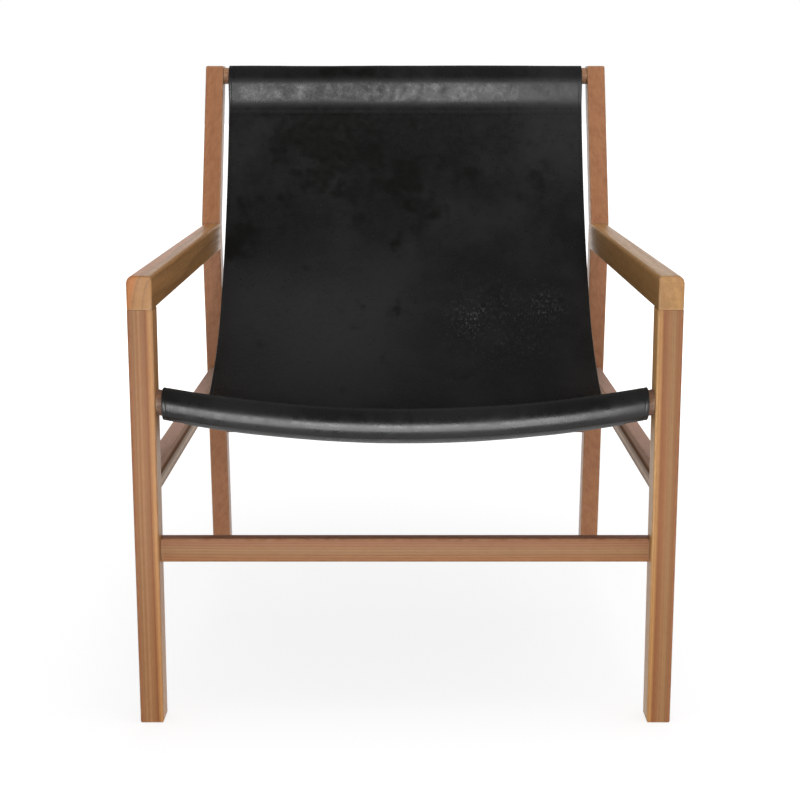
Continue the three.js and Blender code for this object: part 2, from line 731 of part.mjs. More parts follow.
/** The path's outer and inner surface points at one place across the width. */
function slingStrip(path, x) {
  const outer = path.map((point) => new THREE.Vector2(point.x, point.y - slingDrop(x, point.x)));
  const inner = outer.map((point, place) => {
    const before = outer[Math.max(place - 1, 0)];
    const after = outer[Math.min(place + 1, outer.length - 1)];
    const along = new THREE.Vector2().subVectors(after, before).normalize();
    return point.clone().add(new THREE.Vector2(-along.y, along.x).multiplyScalar(LEATHER_THICKNESS));
  });
  const lift = (point) => new THREE.Vector3(x, point.x, point.y);
  return [...outer.map(lift), ...inner.map(lift).reverse()];
}

/** The leather: one sheet, with a sewn loop round each rail. */
function leatherSling() {
  const path = slingPath();
  const strips = upTo(SLING_STATIONS).map((station) => (
    slingStrip(path, LEATHER_WIDTH * (station / (SLING_STATIONS - 1) - 1 / 2))
  ));
  const count = path.length;
  const loop = 2 * count;
  const geometry = new THREE.BufferGeometry().setFromPoints(strips.flat());
  const index = [];
  const quad = (a, b, c, d) => index.push(a, b, c, a, c, d);
  for (let strip = 0; strip < SLING_STATIONS - 1; strip += 1) {
    for (let place = 0; place < loop; place += 1) {
      const next = (place + 1) % loop;
      quad(strip * loop + place, strip * loop + next, (strip + 1) * loop + next,
        (strip + 1) * loop + place);
    }
  }
  const last = (SLING_STATIONS - 1) * loop;
  for (let place = 0; place < count - 1; place += 1) {
    const across = loop - 1 - place;
    quad(place, across, across - 1, place + 1);
    quad(last + place, last + place + 1, last + across - 1, last + across);
  }
  geometry.setIndex(index);
  return facingOut(geometry);
}

// Assembly

/** A named piece in its finish. */
function piece(name, geometry, finish) {
  const flat = geometry.index ? geometry.toNonIndexed() : geometry;
  flat.computeVertexNormals();
  const mesh = new THREE.Mesh(flat, new THREE.MeshStandardMaterial(finish));
  mesh.name = name;
  return mesh;
}

/** The right-hand piece and its mirror image on the left. */
function pair(name, geometry, finish) {
  return [
    piece(`${name}_right`, geometry, finish),
    piece(`${name}_left`, mirrored(geometry), finish),
  ];
}

/** Bolts, inserts, plugs and pins for both ends of a rail. */
function fastenings(name, joint) {
  const parts = [
    ...pair(`${name}_bolt`, bolt(joint), ZINC),
    ...pair(`${name}_insert`, insert(joint), BRASS),
    ...pair(`${name}_plug`, plug(joint), TEAK),
  ];
  if (joint.pinCentre) {
    parts.push(...pair(`${name}_pin`, pin(joint), BEECH));
  }
  return parts;
}

const chair = new THREE.Group();
chair.add(
  ...pair("front_leg", frontLeg(), TEAK),
  ...pair("armrest", armrest(), TEAK),
  ...pair("rear_post", rearPost(), TEAK),
  ...pair("side_rail", sideRail(), TEAK),
  piece("front_stretcher", stretcher(FRONT_STRETCHER_JOINT), TEAK),
  piece("rear_stretcher", stretcher(REAR_STRETCHER_JOINT), TEAK),
  piece("front_sling_rail", frontSlingRail(), TEAK),
  piece("top_sling_rail", topSlingRail(), TEAK),
  piece("leather_sling", leatherSling(), BLACK_LEATHER),
  ...fastenings("front_rail", FRONT_RAIL_JOINT),
  ...fastenings("top_rail", TOP_RAIL_JOINT),
  ...fastenings("front_stretcher", FRONT_STRETCHER_JOINT),
  ...fastenings("rear_stretcher", REAR_STRETCHER_JOINT),
);

// The origin goes to the floor under the middle of the chair.
const extent = new THREE.Box3().setFromObject(chair);
chair.position.y = -(extent.min.y + extent.max.y) / 2;
chair.updateMatrixWorld(true);

export default chair;
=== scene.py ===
"""A leather sling lounge chair: its timber, leather and thread, and the plain studio round it.

Metres, +Z up. The chair faces -Y and its left arm is on -X. The leather's shape and the timber's figure are
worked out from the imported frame.
"""

import math

import bpy
import numpy as np
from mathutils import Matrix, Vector, noise as solid_noise


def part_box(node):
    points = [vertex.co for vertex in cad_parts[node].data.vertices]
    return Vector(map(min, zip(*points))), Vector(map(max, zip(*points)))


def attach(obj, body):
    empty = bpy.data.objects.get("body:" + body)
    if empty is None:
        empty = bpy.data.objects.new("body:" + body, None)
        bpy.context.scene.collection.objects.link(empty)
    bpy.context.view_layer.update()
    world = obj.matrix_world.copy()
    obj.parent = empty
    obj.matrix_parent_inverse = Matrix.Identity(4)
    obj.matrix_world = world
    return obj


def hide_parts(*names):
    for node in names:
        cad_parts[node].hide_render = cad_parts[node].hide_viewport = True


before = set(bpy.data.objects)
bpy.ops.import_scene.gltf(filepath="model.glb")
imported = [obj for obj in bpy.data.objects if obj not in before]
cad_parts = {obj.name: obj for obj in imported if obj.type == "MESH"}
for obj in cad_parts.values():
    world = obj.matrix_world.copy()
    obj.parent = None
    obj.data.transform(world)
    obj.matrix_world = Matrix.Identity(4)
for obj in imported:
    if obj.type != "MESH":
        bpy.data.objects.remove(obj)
bpy.context.view_layer.update()

SCENE = bpy.context.scene
MM = 0.001
SIDES = ("left", "right")

# Camera, fitted to the photograph's vanishing lines

CAMERA_HEIGHT = 793.2 * MM
CAMERA_DISTANCE = 2313.2 * MM
CAMERA_TILT_DOWN = 11.31
CAMERA_LENS = 71.1
CAMERA_SHIFT_X = -0.0066


def add_camera():
    data = bpy.data.cameras.new("photo_camera")
    data.lens = CAMERA_LENS
    data.shift_x = CAMERA_SHIFT_X
    camera = bpy.data.objects.new("photo_camera", data)
    camera.location = (0, -CAMERA_DISTANCE, CAMERA_HEIGHT)
    camera.rotation_euler = (math.radians(90 - CAMERA_TILT_DOWN), 0, 0)
    SCENE.collection.objects.link(camera)
    SCENE.camera = camera


# Small tools for node trees. A value may be a number, a colour or another node's output.

def srgb(red, green, blue):
    """A colour as paint charts give it, 0 to 255, as the shader wants it."""
    def linear(level):
        share = level / 255
        return share / 12.92 if share <= 0.04045 else ((share + 0.055) / 1.055) ** 2.4
    return (linear(red), linear(green), linear(blue), 1)


def put(tree, socket, value):
    if isinstance(value, bpy.types.NodeSocket):
        tree.links.new(value, socket)
    else:
        socket.default_value = value


def add_node(tree, kind, *values, **settings):
    """A node with its settings, and its first inputs in order."""
    node = tree.nodes.new(kind)
    for name, value in settings.items():
        setattr(node, name, value)
    for socket, value in zip(node.inputs, values):
        put(tree, socket, value)
    return node


def maths(tree, operation, *values):
    return add_node(tree, "ShaderNodeMath", *values, operation=operation).outputs[0]


def vector_maths(tree, operation, *values):
    return add_node(tree, "ShaderNodeVectorMath", *values, operation=operation).outputs[0]


def split(tree, vector):
    return add_node(tree, "ShaderNodeSeparateXYZ", vector).outputs


def join(tree, x, y, z):
    return add_node(tree, "ShaderNodeCombineXYZ", x, y, z).outputs[0]


def ease(tree, value, low, high, start=0.0, end=1.0):
    """Goes smoothly from start to end while value goes from low to high."""
    node = add_node(tree, "ShaderNodeMapRange", interpolation_type="SMOOTHSTEP")
    names = ("Value", "From Min", "From Max", "To Min", "To Max")
    for name, given in zip(names, (value, low, high, start, end)):
        put(tree, node.inputs[name], given)
    return node.outputs[0]


def cloud(tree, place, scale, detail=2.0, roughness=0.5, output=0):
    """Solid noise; scale is one number, or three to stretch it."""
    if isinstance(scale, tuple):
        place = vector_maths(tree, "MULTIPLY", place, scale)
        scale = 1.0
    node = add_node(tree, "ShaderNodeTexNoise")
    for name, given in (("Vector", place), ("Scale", scale), ("Detail", detail), ("Roughness", roughness)):
        put(tree, node.inputs[name], given)
    return node.outputs[output]


def noise_mask(tree, place, scale, detail, roughness, low, high, start=0.0, end=1.0):
    """Solid noise that is eased from start to end between two of its levels."""
    return ease(tree, cloud(tree, place, scale, detail, roughness), low, high, start, end)


def streak_noise(tree, along, detail, roughness):
    """Noise along one line."""
    node = add_node(tree, "ShaderNodeTexNoise", noise_dimensions="1D")
    for name, given in (("W", along), ("Scale", 1.0), ("Detail", detail), ("Roughness", roughness)):
        put(tree, node.inputs[name], given)
    return node.outputs[0]


def blend(tree, share, first, second, kind="MIX"):
    node = add_node(tree, "ShaderNodeMix", data_type="RGBA", blend_type=kind)
    for name, given in (("Factor_Float", share), ("A_Color", first), ("B_Color", second)):
        put(tree, next(s for s in node.inputs if s.identifier == name), given)
    return next(s for s in node.outputs if s.identifier == "Result_Color")


def bands(tree, share, stops):
    """A row of colours: pairs of place and colour."""
    node = add_node(tree, "ShaderNodeValToRGB", share)
    elements = node.color_ramp.elements
    node.color_ramp.interpolation = "EASE"
    for place, colour in stops[1:-1]:
        elements.new(place).color = colour
    for element, (place, colour) in ((elements[0], stops[0]), (elements[-1], stops[-1])):
        element.position = place
        element.color = colour
    return node.outputs[0]


SOCKETS = {"value": "NodeSocketFloat", "vector": "NodeSocketVector", "colour": "NodeSocketColor"}


def new_group(name, inputs, outputs):
    """An empty shader group with named inputs and outputs, each given as name: kind."""
    group = bpy.data.node_groups.new(name, "ShaderNodeTree")
    for socket, kind in inputs.items():
        group.interface.new_socket(socket, in_out="INPUT", socket_type=SOCKETS[kind])
    for socket, kind in outputs.items():
        group.interface.new_socket(socket, in_out="OUTPUT", socket_type=SOCKETS[kind])
    return group, group.nodes.new("NodeGroupInput").outputs, group.nodes.new("NodeGroupOutput").inputs


def use_group(tree, group, **values):
    """Places a group in a material; an input's name is written with _ for each space."""
    node = tree.nodes.new("ShaderNodeGroup")
    node.node_tree = group
    for name, value in values.items():
        put(tree, node.inputs[name.replace("_", " ")], value)
    return node.outputs


def new_material(name):
    """A material with a Principled shader: the material, its tree and the shader's inputs."""
    material = bpy.data.materials.new(name)
    material.use_nodes = True
    tree = material.node_tree
    return material, tree, tree.nodes["Principled BSDF"].inputs


def object_place(tree):
    return tree.nodes.new("ShaderNodeTexCoord").outputs["Object"]


def relief(tree, height, depth):
    """A normal from a height that goes from 0 to 1, with its depth in metres."""
    node = tree.nodes.new("ShaderNodeBump")
    node.inputs["Distance"].default_value = depth
    put(tree, node.inputs["Height"], height)
    return node.outputs[0]


def new_piece(name, points, faces, materials, kinds=(), smooth=True):
    """A piece with its own mesh. Kinds says which of its materials each face has."""
    mesh = bpy.data.meshes.new(name)
    mesh.from_pydata(points, [], faces)
    if kinds:
        mesh.polygons.foreach_set("material_index", kinds)
    mesh.polygons.foreach_set("use_smooth", [smooth] * len(faces))
    for material in materials:
        mesh.materials.append(material)
    mesh.validate()
    piece = bpy.data.objects.new(name, mesh)
    SCENE.collection.objects.link(piece)
    return piece


# Timber

# A mask made from noise is given as the noise's scale, detail and roughness, and the two of its levels that
# the mask is eased between. A scale counts the noise's cells in a metre, in timber along X, Y and the grain.
RING_DRIFT_NOISE = ((7.0, 7.0, 1.6), 2.0, 0.5)
STREAKS_IN_A_RING = 1.3
TINTS_IN_A_RING = 0.45
LATE_WOOD_START, LATE_WOOD_PEAK = 0.55, 0.93
FIBRE_MASK = ((330.0, 620.0, 5.0), 4.0, 0.6, 0.32, 0.68)
PORE_MASK = ((2400.0, 2400.0, 70.0), 2.0, 0.5, 0.6, 0.72)
FIGURE_MASK = ((125.0, 125.0, 74.0), 6.0, 0.76, 0.4, 0.66)
FIGURE_LEAN = 0.4
WEAR_MASK = (55.0, 4.0, 0.6, 0.3, 0.7)
WEAR_LEAST, WEAR_MOST = 0.25, 1.5
FIBRE_SHEEN = 0.2
FIBRE_LIGHT = (0.9, 0.72, 0.5, 1)
PORE_DARKNESS = 0.26
WORN_SHARE = 0.25
WORN_TIMBER = (0.56, 0.37, 0.21, 1)
TIMBER_ROUGHNESS = (0.35, 0.28)
PORES_ROUGHER, FIGURE_ROUGHER, WEAR_SMOOTHER = 0.2, 0.05, 0.05
FIBRE_HEIGHT, PORE_HEIGHT, LATE_WOOD_HEIGHT = 0.35, 0.65, 0.15


def growth_rings_group():
    """Rings round the pith, which runs along Z through the place's zero."""
    group, given, out = new_group(
        "growth_rings",
        {"Place": "vector", "Ring Width": "value", "Wander": "value", "Sweep": "value", "Seed": "value"},
        {"Radius": "value", "Streak": "value", "Tint": "value", "Late Wood": "value"},
    )
    seed = join(group, given["Seed"], given["Seed"], given["Seed"])
    stretched = vector_maths(group, "MULTIPLY", given["Place"], join(group, 1.0, 1.0, given["Sweep"]))
    moved = vector_maths(group, "ADD", stretched, seed)
    drift = cloud(group, moved, *RING_DRIFT_NOISE, output=1)
    drift = vector_maths(group, "SUBTRACT", drift, (0.5, 0.5, 0.5))
    drift = vector_maths(group, "MULTIPLY", drift, join(group, given["Wander"], given["Wander"], 0.0))
    bent = vector_maths(group, "ADD", vector_maths(group, "MULTIPLY", given["Place"], (1.0, 1.0, 0.0)), drift)
    radius = add_node(group, "ShaderNodeVectorMath", bent, operation="LENGTH").outputs["Value"]
    count = maths(group, "ADD", maths(group, "DIVIDE", radius, given["Ring Width"]), given["Seed"])
    put(group, out["Radius"], radius)
    streaks = streak_noise(group, maths(group, "MULTIPLY", count, STREAKS_IN_A_RING), 3.0, 0.6)
    put(group, out["Streak"], ease(group, streaks, 0.3, 0.7))
    tints = streak_noise(group, maths(group, "MULTIPLY", count, TINTS_IN_A_RING), 1.0, 0.5)
    put(group, out["Tint"], ease(group, tints, 0.4, 0.64))
    within = maths(group, "FRACT", count)
    rising = ease(group, within, LATE_WOOD_START, LATE_WOOD_PEAK)
    falling = ease(group, within, LATE_WOOD_PEAK, 1.0, 1.0, 0.0)
    put(group, out["Late Wood"], maths(group, "MULTIPLY", rising, falling))
    return group


def timber_fibre_group():
    """What runs along the grain: fine fibre, dark open pores and cloudy figure."""
    group, given, out = new_group(
        "timber_fibre",
        {"Place": "vector", "Seed": "value"},
        {"Fibre": "value", "Pores": "value", "Figure": "value"},
    )
    seed = join(group, given["Seed"], given["Seed"], given["Seed"])
    place = vector_maths(group, "ADD", given["Place"], seed)
    put(group, out["Fibre"], noise_mask(group, place, *FIBRE_MASK))
    put(group, out["Pores"], noise_mask(group, place, *PORE_MASK))
    x, y, z = split(group, place)
    leaning = join(group, maths(group, "ADD", x, maths(group, "MULTIPLY", z, FIGURE_LEAN)), y, z)
    put(group, out["Figure"], noise_mask(group, leaning, *FIGURE_MASK))
    return group


def edge_wear_group():
    """Near the edges of a box that goes from Low to High: 1 on the edge itself, 0 past the width."""
    group, given, out = new_group(
        "edge_wear",
        {"Place": "vector", "Low": "vector", "High": "vector", "Width": "value"},
        {"Wear": "value"},
    )
    from_low = vector_maths(group, "SUBTRACT", given["Place"], given["Low"])
    from_high = vector_maths(group, "SUBTRACT", given["High"], given["Place"])
    x, y, z = split(group, vector_maths(group, "MINIMUM", from_low, from_high))
    nearer = maths(group, "MINIMUM", x, y)
    farther = maths(group, "MAXIMUM", x, y)
    middle = maths(group, "MAXIMUM", nearer, maths(group, "MINIMUM", farther, z))
    uneven = noise_mask(group, given["Place"], *WEAR_MASK, WEAR_LEAST, WEAR_MOST)
    reach = maths(group, "MULTIPLY", given["Width"], uneven)
    put(group, out["Wear"], maths(group, "SUBTRACT", 1.0, ease(group, middle, 0.0, reach)))
    return group


def oiled_timber_group():
    """Puts the figure of the timber on its base colour."""
    group, given, out = new_group(
        "oiled_timber",
        {"Base": "colour", "Dark": "colour", "Red": "colour", "Streak": "value", "Tint": "value",
         "Late Wood": "value", "Fibre": "value", "Pores": "value", "Figure": "value", "Wear": "value",
         "Streak Depth": "value", "Tint Depth": "value", "Line Depth": "value", "Figure Depth": "value"},
        {"Color": "colour", "Roughness": "value", "Height": "value"},
    )

    def weighed(mask, depth):
        return maths(group, "MULTIPLY", mask, depth)

    dull = maths(group, "SUBTRACT", 1.0, given["Streak"])
    colour = blend(group, weighed(dull, given["Streak Depth"]), given["Base"], given["Dark"])
    colour = blend(group, weighed(given["Tint"], given["Tint Depth"]), colour, given["Red"])
    colour = blend(group, weighed(given["Late Wood"], given["Line Depth"]), colour, given["Dark"])
    colour = blend(group, weighed(given["Figure"], given["Figure Depth"]), colour, given["Dark"])
    colour = blend(group, weighed(given["Fibre"], FIBRE_SHEEN), colour, FIBRE_LIGHT, "SOFT_LIGHT")
    colour = blend(group, weighed(given["Pores"], PORE_DARKNESS), colour, given["Dark"], "MULTIPLY")
    colour = blend(group, weighed(given["Wear"], WORN_SHARE), colour, WORN_TIMBER)
    put(group, out["Color"], colour)
    rough = ease(group, given["Fibre"], 0.0, 1.0, *TIMBER_ROUGHNESS)
    rough = maths(group, "ADD", rough, weighed(given["Pores"], PORES_ROUGHER))
    rough = maths(group, "ADD", rough, weighed(given["Figure"], FIGURE_ROUGHER))
    put(group, out["Roughness"], maths(group, "SUBTRACT", rough, weighed(given["Wear"], WEAR_SMOOTHER)))
    fibres, pores = weighed(given["Fibre"], FIBRE_HEIGHT), weighed(given["Pores"], PORE_HEIGHT)
    height = maths(group, "SUBTRACT", fibres, pores)
    put(group, out["Height"], maths(group, "ADD", height, weighed(given["Late Wood"], LATE_WOOD_HEIGHT)))
    return group


GROWTH_RINGS = growth_rings_group()
TIMBER_FIBRE = timber_fibre_group()
EDGE_WEAR = edge_wear_group()
OILED_TIMBER = oiled_timber_group()

TIMBER_GLOSS = 0.12
PORE_DEPTH = 0.12 * MM
WEAR_WIDTH = 3.2 * MM
POST_RAKE = math.tan(math.radians(4.95))
POST_RECLINE = math.tan(math.radians(22.7))
POST_DEPTH_ALONG = 35.5 * MM
POST_BEND_HEIGHT = 569.5 * MM
SEAM_MERGE = 0.01 * MM
SHARP_CORNER = math.radians(34)

DARK_TIMBER = srgb(104, 66, 38)
RED_TIMBER = srgb(150, 98, 66)

# How far each piece lies from its pith: its nearest and its farthest wood
LEG_REACH = (90 * MM, 121.5 * MM)
ARMREST_REACH = (60 * MM, 101 * MM)
POST_REACH = (70 * MM, 106 * MM)
SIDE_RAIL_REACH = (80 * MM, 116 * MM)
STRETCHER_REACH = (90 * MM, 121 * MM)
ROUND_RAIL_REACH = (36 * MM, 110 * MM)
PLUG_REACH = (40 * MM, 62 * MM)
# How far the pith lies to the side or below, where the reach alone doesn't say it
ARMREST_PITH_DROP = 6 * MM
POST_PITH_INSET = 12 * MM
ROUND_RAIL_PITH_OFFSET = (-30 * MM, -20 * MM)
PLUG_PITH_DROP = 6 * MM

# The colours of each kind of piece from its nearest to its farthest wood; where some stops paint light or
# shade, it is said beside them
LEG_COLOURS = (
    (146, 96, 67), (148, 99, 68), (154, 111, 76), (164, 125, 86), (162, 121, 84), (156, 111, 74),
    (142, 90, 57), (190, 140, 88), (200, 152, 98))
POST_COLOURS = ((162, 114, 82), (160, 114, 84), (168, 124, 86), (158, 110, 80), (166, 120, 86))
POST_DARK = srgb(122, 74, 48)
# The side rails' colours go from the top face down the inner face. All but the dark stop are far paler than
# the other timber: they paint the pale reflection of the white room that the rails show at a glancing view.
# The dark stop makes a dark band along the top of the inner face.
SIDE_RAIL_COLOURS_WITH_PAINTED_REFLECTION = (
    (202, 168, 154), (204, 174, 158), (74, 52, 38), (222, 200, 184), (250, 230, 216), (242, 218, 206))
# The stretchers' colours go from their bottom up; the darker last stop darkens their top faces, painted shade
# of the sling above them.
STRETCHER_COLOURS_WITH_SHADED_TOP = (
    (164, 116, 78), (160, 116, 82), (158, 120, 88), (164, 126, 94), (156, 112, 84), (132, 88, 68))
# The front rail's colours are a darker, greyer copy of the top rail's: painted shade on its ends beside the
# leather roll, with a grey painted reflection.
FRONT_SLING_RAIL_SHADED_COLOURS = ((112, 96, 86), (118, 100, 90), (104, 88, 78), (116, 98, 88))
TOP_SLING_RAIL_COLOURS = ((166, 130, 106), (172, 136, 110), (158, 120, 94), (170, 132, 104))
PLUG_COLOURS = ((150, 104, 70), (164, 118, 80), (146, 98, 66))

LEG_SEEDS = {"left": 3.0, "right": 5.4}
POST_SEEDS = {"left": 11.0, "right": 12.6}
SIDE_RAIL_SEED = 15.0
STRETCHER_SEEDS = {"front_stretcher": 21.0, "rear_stretcher": 27.0}
SLING_RAIL_FIGURE = {
    "front_sling_rail": (31.0, FRONT_SLING_RAIL_SHADED_COLOURS),
    "top_sling_rail": (37.0, TOP_SLING_RAIL_COLOURS),
}
PLUG_SEEDS = {"front_rail": 41.0, "top_rail": 43.0, "front_stretcher": 47.0, "rear_stretcher": 53.0}

# Each armrest's seed, depth of its ring lines and of its figure, and colours from its inner side outwards
ARMREST_FIGURE = {
    "left": (7.0, 0.34, 0.16, (
        (170, 122, 68), (174, 128, 78), (178, 132, 84), (180, 134, 86), (188, 120, 66), (192, 120, 64))),
    "right": (8.6, 0.14, 0.26, ((160, 120, 70), (182, 140, 88), (188, 144, 92), (190, 144, 92))),
}


def straightened(tree, place, bend):
    """The place in a rear post as if its bend were pulled straight: Y counts from its front face."""
    x, y, z = split(tree, place)
    above = maths(tree, "SUBTRACT", z, bend[1])
    lower = maths(tree, "MULTIPLY", above, -POST_RAKE)
    upper = maths(tree, "MULTIPLY", above, POST_RECLINE)
    front = maths(tree, "ADD", maths(tree, "MAXIMUM", lower, upper), bend[0])
    return join(tree, x, maths(tree, "SUBTRACT", y, front), z)


def grain_place(tree, place, grain, pith, side):
    """The place with the pith at zero and the grain along Z, mirrored on the left side."""
    mirror = (-1.0, 1.0, 1.0) if side == "left" else (1.0, 1.0, 1.0)
    place = vector_maths(tree, "SUBTRACT", vector_maths(tree, "MULTIPLY", place, mirror), pith)
    x, y, z = split(tree, place)
    return {"X": join(tree, y, z, x), "Y": join(tree, z, x, y), "Z": place}[grain]


def soft_edge_modifier_tree():
    """Closes the seams of an imported piece and shades it smooth up to its real corners."""
    tree = bpy.data.node_groups.new("soft_timber_edges", "GeometryNodeTree")
    for in_out in ("INPUT", "OUTPUT"):
        tree.interface.new_socket("Geometry", in_out=in_out, socket_type="NodeSocketGeometry")
    given = tree.nodes.new("NodeGroupInput").outputs[0]
    merged = add_node(tree, "GeometryNodeMergeByDistance", given)
    merged.inputs["Distance"].default_value = SEAM_MERGE
    bare = add_node(tree, "GeometryNodeSetMeshNormal", merged.outputs[0], mode="SHARPNESS")
    angle = tree.nodes.new("GeometryNodeInputMeshEdgeAngle").outputs[0]
    sharp = add_node(tree, "ShaderNodeMath", angle, SHARP_CORNER, operation="GREATER_THAN").outputs[0]
    put(tree, bare.inputs["Remove Custom"], True)
    put(tree, bare.inputs["Edge Sharpness"], sharp)
    put(tree, bare.inputs["Face Sharpness"], False)
    put(tree, tree.nodes.new("NodeGroupOutput").inputs[0], bare.outputs[0])
    return tree


SOFT_EDGES = soft_edge_modifier_tree()


def dress(name, material):
    """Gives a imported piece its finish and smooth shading."""
    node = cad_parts[name]
    for socket in node.material_slots:
        socket.material = material
    node.modifiers.new("soft_edges", "NODES").node_group = SOFT_EDGES
    weighted = node.modifiers.new("even_shading", "WEIGHTED_NORMAL")
    weighted.keep_sharp = True


def dress_in_timber(name, grain, pith, reach, colours, side="right", bend=None, ring_width=5 * MM,
                    wander=6 * MM, sweep=1.0, streak=0.35, tint=0.3, line=0.3, figure=0.1, seed=0.0,
                    gloss=TIMBER_GLOSS, rougher=0.0, dark=DARK_TIMBER):
    """Gives a packed timber piece a finish of its own.

    Pith is a point that the growth rings go round, reach is the nearest and the farthest distance from it,
    and colours are spread from the one to the other.
    """
    material, tree, shader = new_material(f"{name}_timber")
    place = object_place(tree)
    low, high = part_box(name)
    if bend:
        place = straightened(tree, place, bend)
        low, high = Vector((low.x, 0, 0)), Vector((high.x, POST_DEPTH_ALONG, high.z))
    turned = grain_place(tree, place, grain, pith, side)
    rings = use_group(tree, GROWTH_RINGS, Place=turned, Ring_Width=ring_width, Wander=wander, Sweep=sweep,
                      Seed=seed)
    fibre = use_group(tree, TIMBER_FIBRE, Place=turned, Seed=seed)
    wear = use_group(tree, EDGE_WEAR, Place=place, Low=low, High=high, Width=WEAR_WIDTH)
    share = add_node(tree, "ShaderNodeMapRange", rings["Radius"], reach[0], reach[1]).outputs[0]
    stops = [(i / (len(colours) - 1), srgb(*colour)) for i, colour in enumerate(colours)]
    finish = use_group(
        tree, OILED_TIMBER, Base=bands(tree, share, stops), Dark=dark, Red=RED_TIMBER,
        Streak=rings["Streak"], Tint=rings["Tint"], Late_Wood=rings["Late Wood"], Fibre=fibre["Fibre"],
        Pores=fibre["Pores"], Figure=fibre["Figure"], Wear=wear["Wear"],
        Streak_Depth=streak, Tint_Depth=tint, Line_Depth=line, Figure_Depth=figure)
    put(tree, shader["Base Color"], finish["Color"])
    put(tree, shader["Roughness"], maths(tree, "ADD", finish["Roughness"], rougher))
    shader["Specular IOR Level"].default_value = gloss
    put(tree, shader["Normal"], relief(tree, finish["Height"], PORE_DEPTH))
    dress(name, material)


def dress_front_leg(side):
    low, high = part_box("front_leg_right")
    dress_in_timber(
        f"front_leg_{side}", "Z", side=side,
        pith=(high.x + LEG_REACH[0], (low.y + high.y) / 2, 0), reach=LEG_REACH, colours=LEG_COLOURS,
        wander=5 * MM, ring_width=4.5 * MM, streak=0.3, tint=0.42, line=0.26, figure=0.1, gloss=0.13,
        seed=LEG_SEEDS[side])


def dress_armrest(side):
    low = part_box("armrest_right")[0]
    seed, line, figure, colours = ARMREST_FIGURE[side]
    dress_in_timber(
        f"armrest_{side}", "Y", side=side,
        pith=(low.x - ARMREST_REACH[0], 0, low.z - ARMREST_PITH_DROP), reach=ARMREST_REACH, colours=colours,
        wander=20 * MM, sweep=1.8, ring_width=11 * MM, streak=0.16, tint=0.2, line=line, figure=figure,
        gloss=0.2, seed=seed)


def dress_rear_post(side):
    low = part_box("rear_post_right")[0]
    dress_in_timber(
        f"rear_post_{side}", "Z", side=side, bend=(low.y, POST_BEND_HEIGHT),
        pith=(low.x + POST_PITH_INSET, -POST_REACH[0], 0), reach=POST_REACH, colours=POST_COLOURS,
        wander=16 * MM, ring_width=7 * MM, streak=0.2, tint=0.45, line=0.12, figure=0.4, gloss=0.24,
        dark=POST_DARK, seed=POST_SEEDS[side])


def dress_side_rail(side):
    low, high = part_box("side_rail_right")
    # Gloss is nearly off and roughness raised here, so that the painted reflection in the rail's colours
    # stands in for the real one.
    dress_in_timber(
        f"side_rail_{side}", "Y", side=side,
        pith=((low.x + high.x) / 2, 0, high.z + SIDE_RAIL_REACH[0]), reach=SIDE_RAIL_REACH,
        colours=SIDE_RAIL_COLOURS_WITH_PAINTED_REFLECTION, wander=3 * MM, ring_width=6 * MM, streak=0.3, tint=0.3, line=0.2,
        figure=0.1, gloss=0.03, rougher=0.5, seed=SIDE_RAIL_SEED)


def dress_timber():
    for side in SIDES:
        dress_front_leg(side)
        dress_armrest(side)
        dress_rear_post(side)
        dress_side_rail(side)
    low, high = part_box("front_stretcher")
    for name, seed in STRETCHER_SEEDS.items():
        dress_in_timber(
            name, "X", pith=(0, (low.y + high.y) / 2, low.z - STRETCHER_REACH[0]),
            reach=STRETCHER_REACH, colours=STRETCHER_COLOURS_WITH_SHADED_TOP, wander=10 * MM, ring_width=3.6 * MM,
            streak=0.34, tint=0.3, line=0.3, figure=0.08, gloss=0.06, seed=seed)
    for name, (seed, colours) in SLING_RAIL_FIGURE.items():
        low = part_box(name)[0]
        behind, below = ROUND_RAIL_PITH_OFFSET
        dress_in_timber(
            name, "X", pith=(0, low.y + behind, low.z + below), reach=ROUND_RAIL_REACH,
            colours=colours, seed=seed)
    for joint, seed in PLUG_SEEDS.items():
        for side in SIDES:
            name = f"{joint}_plug_{side}"
            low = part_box(name)[0]
            dress_in_timber(
                name, "Y", side=side, pith=(low.x - PLUG_REACH[0], 0, low.z - PLUG_PITH_DROP),
                reach=PLUG_REACH, colours=PLUG_COLOURS, ring_width=3 * MM, wander=3 * MM, seed=seed)


# Fastenings, hidden inside the frame

ZINC, DULL_ZINC = srgb(196, 199, 202), srgb(160, 160, 158)
BRASS, DULL_BRASS = srgb(208, 172, 96), srgb(150, 112, 60)
PALE_PIN, PIN_FLECK = srgb(214, 182, 142), srgb(188, 150, 108)
ZINC_ROUGHNESS, BRASS_ROUGHNESS = 0.3, 0.32
ROUGHER_IN_THE_MARKS = 0.15
TURNING_MARKS = ((40.0, 2500.0, 2500.0), 3.0, 0.6, 0.3, 0.7)
TURNING_MARK_DEPTH = 0.02 * MM
TARNISH_MASK = (260.0, 4.0, 0.6, 0.45, 0.7)
TARNISH_SHARE = 0.5
PIN_ROUGHNESS = (0.55, 0.66)
PIN_FLECKS = ((90.0, 700.0, 700.0), 4.0, 0.6, 0.3, 0.7)
PIN_FLECK_DEPTH = 0.08 * MM


def brushed_metal(name, colour, tarnish, roughness):
    material, tree, shader = new_material(name)
    place = object_place(tree)
    turned = noise_mask(tree, place, *TURNING_MARKS)
    dulled = maths(tree, "MULTIPLY", noise_mask(tree, place, *TARNISH_MASK), TARNISH_SHARE)
    put(tree, shader["Base Color"], blend(tree, dulled, colour, tarnish))
    put(tree, shader["Roughness"], ease(tree, turned, 0.0, 1.0, roughness, roughness + ROUGHER_IN_THE_MARKS))
    shader["Metallic"].default_value = 1
    put(tree, shader["Normal"], relief(tree, turned, TURNING_MARK_DEPTH))
    return material


